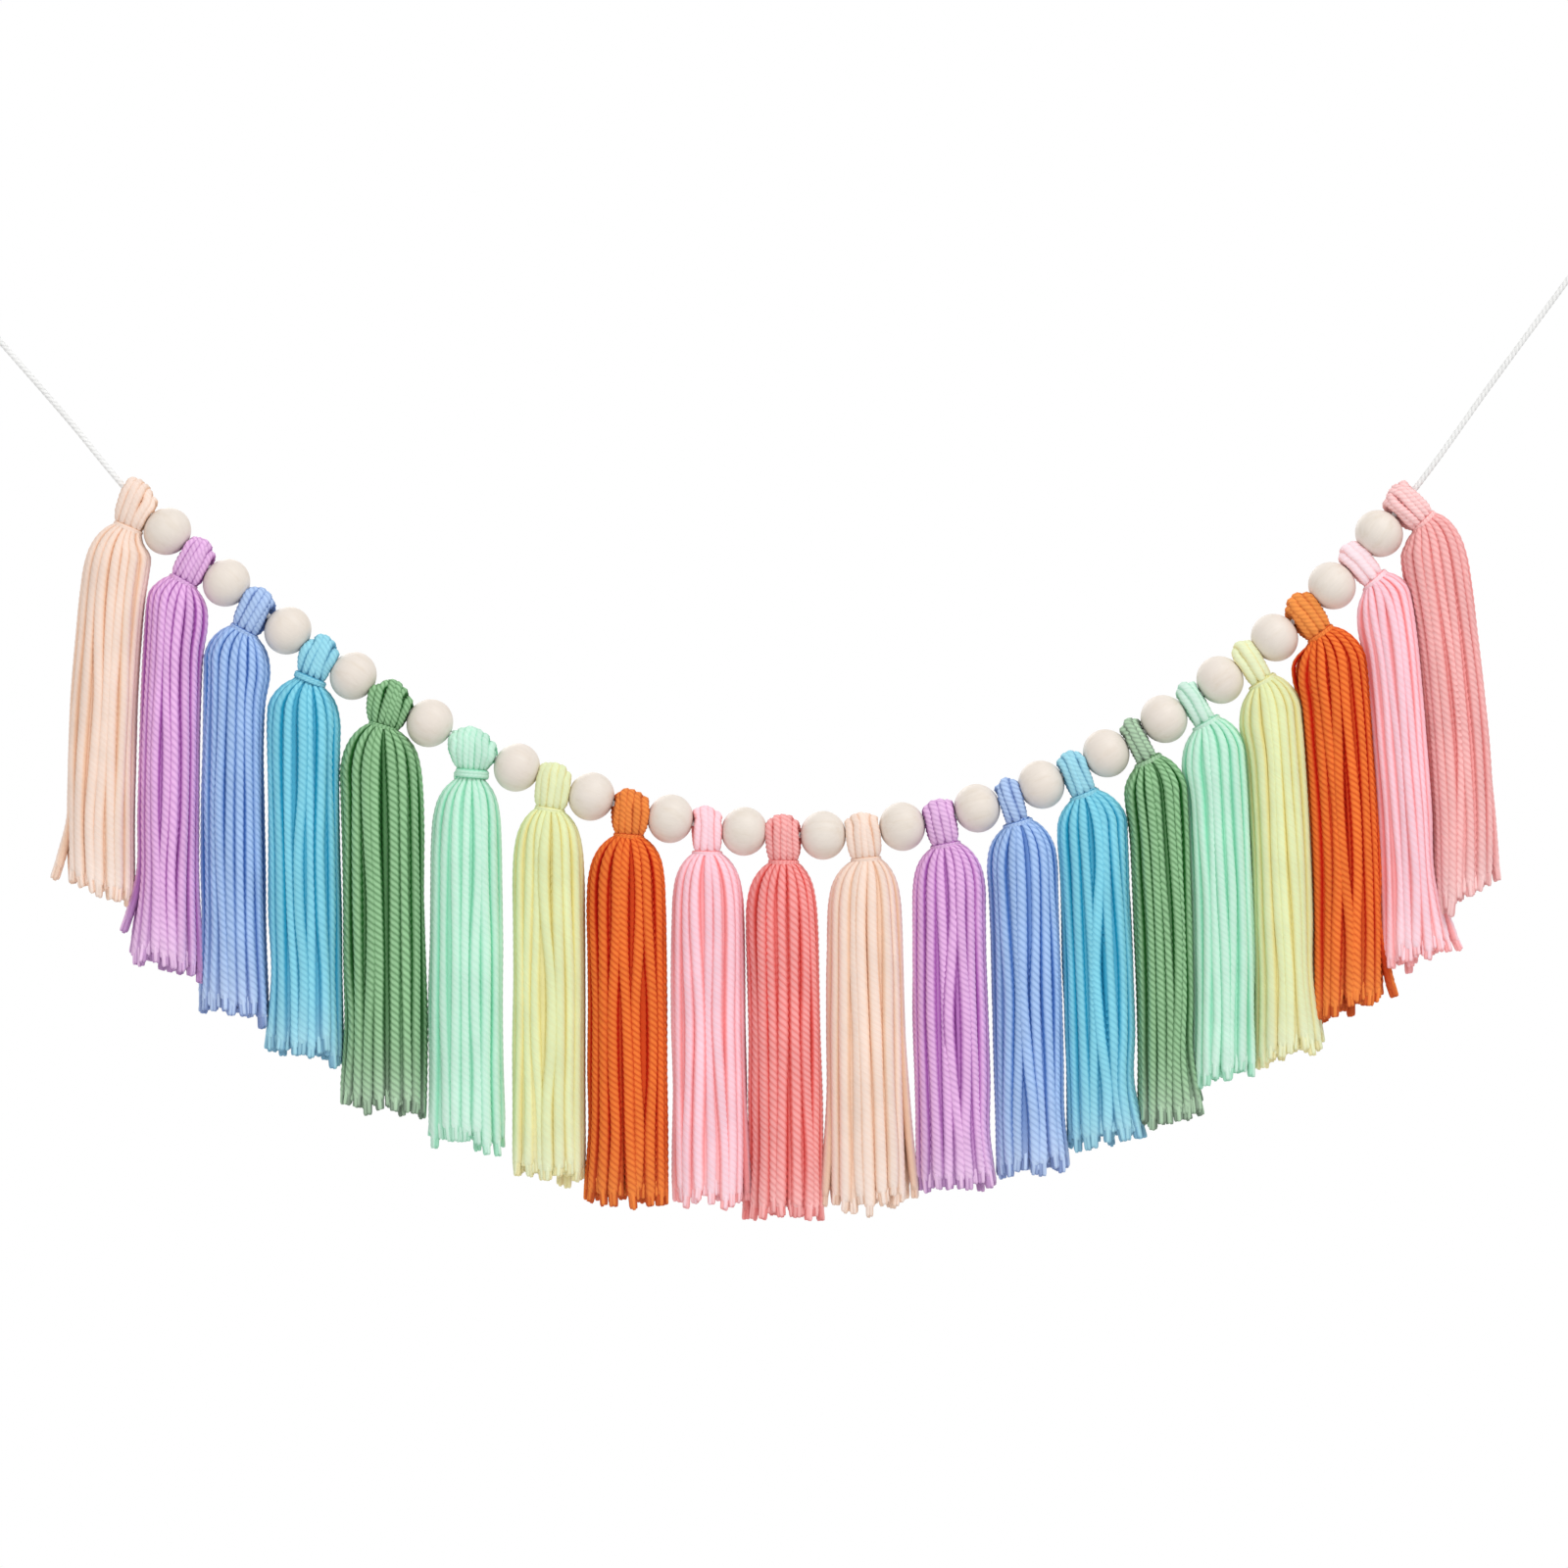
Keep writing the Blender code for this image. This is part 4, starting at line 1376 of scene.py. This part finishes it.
    def skirt(self, form, chance):
        """The strands round the outside of a bundle, with its loose ones."""
        count, half_strand = self.yarn.skirt_strands, self.yarn.strand_width / 2
        evens = self.even_angles(count)
        edges = {-1: min(evens, key=lambda angle: abs(angle - LEFT_EDGE)), 1: evens[-1]}
        sides_of = {angle: side for side, angle in edges.items()}
        strays = {edges[side]: values for tassel, side, *values in STRAYS if tassel == form.index}
        strands = []
        for even in evens:
            angle = even + ANGLE_PLAY * (chance.random() - 0.5) * math.tau / count
            side = sides_of.get(even, 0)
            extra, stand_off, parting = strays.get(even, NO_STRAY)
            loop = LOOP_STAND_OFF if (form.index, side) == SHOULDER_LOOP else 0.0
            length = form.skirt + self.uneven_cut(chance) + extra + form.slant * math.cos(angle)
            slow, fast, ripple, ripple_start, swell_start, slow_start = (
                chance.uniform(-1, 1) for _ in range(6)
            )
            spread = HEM_SPREAD * chance.uniform(-1, 1)
            sunk = SINKING * chance.random() ** 2
            rows = []
            for below in SKIRT_DROPS:
                d = min(below, length)
                share = max(d, 0.0) / length
                deep = between(
                    NECK_HALF, PRESSED_FLAT * half_strand, eased(d, THICKENING_LENGTH)
                )
                sway = slow * math.sin(SLOW_SWAY * share + slow_start)
                sway += fast * math.sin(FAST_SWAY * share)
                inset = deep + sunk * min(share * SINKING_RATE, 1.0)
                inset += RIPPLE * ripple * math.sin(RIPPLE_WAVES * share + ripple_start)
                if d < 0:
                    inset += NECK_TUCK
                point, outward, girth = self.skirt_point(
                    form, angle + SWAY * sway + spread * share**3, d, inset
                )
                parted = max(share - parting, 0.0) / (1.0 - parting)
                arch = max(math.sin(math.pi * min(d / LOOP_DROP, 1.0)), 0.0)
                off = stand_off * parted**PARTING_CURVE + loop * arch
                swell = 1 + SWELL * math.sin(SWELL_WAVES * share + 3 * swell_start)
                if loop and d < LOOP_DROP:
                    swell *= LOOP_THINNING
                half = min(girth / (2 * count) * OVERLAP, half_strand * WIDEST)
                point += Vector((side * off, 0.0, 0.0))
                rows.append((point, outward, half * swell, deep * swell))
            kind = "skirt" if chance.random() < 0.5 else "slack"
            strands += self.lay_cut(kind, rows, chance, fade=form.fade)
        return strands

    def core(self, form, chance):
        """The strands behind the gaps of the outer ones, and those in the middle of the bundle."""
        evens = self.even_angles(self.yarn.skirt_strands)
        gaps = [(a + b) / 2 for a, b in zip(evens, evens[1:] + [evens[0] + math.tau])]
        count = self.yarn.core_strands
        turns = [math.tau * (k + chance.random()) / count for k in range(count)]
        hearts = [math.tau * k / HEART_STRANDS for k in range(HEART_STRANDS)]
        places = [("behind", angle, *BEHIND_RING) for angle in gaps]
        places += [("core", angle, *MIDDLE_RING) for angle in turns]
        places += [("core", angle, *HEART_RING) for angle in hearts]
        strands = []
        for kind, angle, sunk, least_shade in places:
            length = form.skirt + self.uneven_cut(chance) - INNER_CUT
            length += INNER_SLANT_SHARE * form.slant * math.cos(angle)
            rows = []
            for below in SKIRT_DROPS:
                d = min(below, length)
                fill = eased(d, THICKENING_LENGTH)
                half = between(INNER_NECK_HALF, INNER_HALF, fill)
                inset = half + between(NECK_TUCK, sunk, fill)
                point, outward, _ = self.skirt_point(form, angle, d, inset)
                rows.append((point, outward, half * INNER_WIDTH_SHARE, half))
            strands += self.lay_cut(kind, rows, chance, least_shade, form.fade)
        return strands

    def fold(self, form, chance):
        """The strands that lie over the cord, in an outer and an inner layer."""
        strands = []
        for layer, (*_, past, _, _) in enumerate(FOLD_LAYERS):
            reach = form.half_head + past
            if layer == 0:
                reach += HEAD_SWELLS.get(form.index, 0.0)
            count = max(round(2 * reach / FOLD_PITCH), 3)
            half_side = reach / count * FOLD_FULLNESS
            for j in range(count):
                share = 2 * j / (count - 1) - 1
                strands.append(self.fold_strand(form, chance, share, reach, half_side, layer))
        return strands

    def fold_strand(self, form, chance, share, reach, half_side, layer):
        """One strand from the neck in front, over the cord, to the neck behind."""
        depth, rise, half_out, _, inside, least_shade = FOLD_LAYERS[layer]
        edge = abs(share)
        depth = depth * (1.0 - EDGE_THINNING * edge**THINNING_CURVE) - half_out
        rise = rise * (1.0 - between(*EDGE_DROP, form.ball) * edge**DROP_CURVE) - half_out
        rise += FOLD_UNEVENNESS * chance.random()
        skew = FOLD_SKEW * chance.uniform(-1, 1)
        neck_radius = NECK_WIDTH / 2 + form.stout - NECK_HALF - inside
        neck_a = neck_radius * math.sin(share * NECK_SWING)
        neck_y = neck_radius * math.cos(share * NECK_SWING)
        leg = []
        for down, loaf, round_mix in FOLD_LEG:
            mix = between(loaf, round_mix, form.ball)
            raised = form.band if RAISED[0] < down < RAISED[1] else 0.0
            leg.append((between(depth, neck_y, mix), down * NECK_DROP - raised, mix))
        path = [(-y, down, mix, skew) for y, down, mix in leg]
        for k in range(1, ARCH_STEPS):
            theta = math.pi * k / ARCH_STEPS
            wave = skew * math.cos(theta) + FOLD_WAVE * chance.uniform(-1, 1)
            path.append((-depth * math.cos(theta), -rise * math.sin(theta), 0.0, wave))
        path += [(y, down, mix, -skew) for y, down, mix in reversed(leg)]
        shear = form.shear * (1.0 if layer else 1.0 - BALL_STIFFNESS * form.ball)
        rows = []
        for y, down, mix, wave in path:
            top = clamp(-down / HEAD_RISE)
            level = clamp(1.0 - down / NECK_DROP)
            middle = form.point + Vector((0.0, y, 0.0)) + form.down * down
            along = form.across - form.down * (shear * level)
            wide = reach * (1.0 - between(*TOP_NARROWING, form.ball) * top**2)
            wide = form.room(middle, along if share > 0 else -along, wide) - half_side
            a = between(share * wide, neck_a, mix) + wave * level
            lean = form.across * (a * between(*SIDE_LEANS, mix))
            outward = Vector((0.0, y, 0.0)) + form.down * min(down, 0.0) + lean
            rows.append((
                middle + along * a, outward.normalized(),
                between(half_side, NECK_SIDE, mix), between(half_out, NECK_HALF, mix),
            ))
        return self.lay("fold", rows, chance, least_shade, fade=form.fold_paling)

    def lay_cut(self, kind, rows, chance, least_shade=0.0, fade=0.0):
        """A strand that ends in its parted plies."""
        end, outward, side, deep = rows[-1]
        tip = (end - rows[-2][0]).normalized()
        root = end - tip * TUFT_ROOT
        reach = chance.uniform(*TUFT_LENGTHS)
        bend = Vector((chance.uniform(-1, 1), chance.uniform(-1, 1), 0.0)) * TUFT_BEND
        rows[-1] = (end - tip * CUT_BACK, outward, side, deep)
        half = TUFT_FULLNESS * min(side, deep)
        line = (root, root + tip * reach * 0.5, root + tip * reach + bend)
        tuft = [(point, outward, half, half) for point in line]
        return [
            self.lay(kind, rows, chance, least_shade, STRAND_TAPER, fade, HEM_PALING),
            self.lay("tuft", tuft, chance, least_shade * TUFT_SHADE_SHARE, fade=fade + HEM_PALING),
        ]

    def lay(self, kind, rows, chance, least_shade=0.0, taper=1.0, fade=0.0, hem_paling=0.0):
        """A strand along rows of a point, its outward direction, half width and half depth."""
        points, outward, sides, deeps = (np.array(column) for column in zip(*rows))
        arc = arc_lengths(points)
        line = smooth_line(points, LINE_POINTS[kind])
        s = arc_lengths(line)
        left = np.clip((s[-1] - s) / TAPER_LENGTH, 0.0, 1.0)
        narrow = between(taper, 1.0, np.sqrt(1.0 - (1.0 - left) ** 2))
        s = s * (arc[-1] / s[-1])
        # Paler toward the cut end by the hem's paling
        return lay_length(
            self.patterns[kind], line, read_along(s, arc, outward),
            np.interp(s, arc, sides) * narrow, np.interp(s, arc, deeps) * narrow, chance, least_shade,
            fade + hem_paling * np.exp((s - arc[-1]) / HEM_PALING_LENGTH),
        )

    def tie(self, form, chance):
        """The turns of yarn round the neck, broad where the bundle is banded."""
        side, deep, spread = THIN_TIE
        if form.band:
            side, deep, spread = (start + growth * form.band for start, growth in BROAD_TIE)
        radius = NECK_WIDTH / 2 + form.stout + TIE_STAND_OFF
        start = chance.uniform(*TIE_STARTS)
        rows = []
        for k in range(TIE_STEPS + 1):
            angle = start + TIE_TURNS * math.tau * k / TIE_STEPS
            outward = form.across * math.cos(angle) + Vector((0.0, math.sin(angle), 0.0))
            along = form.down * (spread * (2 * k / TIE_STEPS - 1))
            rows.append((form.neck + outward * radius + along, outward, side, deep))
        # The tie is painted paler by the mean of the skirt's and the head's paling
        return self.lay("tie", rows, chance, fade=(form.fade + form.fold_paling) / 2)


# ---------------------------------------------------------------- panel and registration


class GARLAND_PT_panel(bpy.types.Panel):
    """The garland's settings and its pieces"""

    bl_idname = "GARLAND_PT_panel"
    bl_label = "Yarn tassel garland"
    bl_space_type = "VIEW_3D"
    bl_region_type = "UI"
    bl_category = "Garland"

    def draw(self, context):
        layout = self.layout
        scene = context.scene
        for title, group in (
            ("Yarn", scene.garland_yarn), ("Beads", scene.garland_bead),
            ("Cord", scene.garland_cord), ("Stage", scene.garland_stage),
        ):
            box = layout.box()
            box.label(text=title)
            for name in group.__annotations__:
                box.prop(group, name)
        for operator in OPERATORS:
            layout.operator(operator.bl_idname)


OPERATORS = (GARLAND_OT_stage, GARLAND_OT_cord, GARLAND_OT_beads, GARLAND_OT_tassels)
GROUPS = (
    ("garland_yarn", GARLAND_PG_yarn),
    ("garland_bead", GARLAND_PG_bead),
    ("garland_cord", GARLAND_PG_cord),
    ("garland_stage", GARLAND_PG_stage),
)


def register():
    for name, group in GROUPS:
        bpy.utils.register_class(group)
        setattr(bpy.types.Scene, name, PointerProperty(type=group))
    for item in (*OPERATORS, GARLAND_PT_panel):
        bpy.utils.register_class(item)


def unregister():
    for item in reversed((*OPERATORS, GARLAND_PT_panel)):
        bpy.utils.unregister_class(item)
    for name, group in reversed(GROUPS):
        delattr(bpy.types.Scene, name)
        bpy.utils.unregister_class(group)


def main():
    register()
    deselect()
    bpy.ops.garland.stage()
    bpy.ops.garland.cord()
    bpy.ops.garland.beads()
    bpy.ops.garland.tassels()


if __name__ == "__main__":
    main()
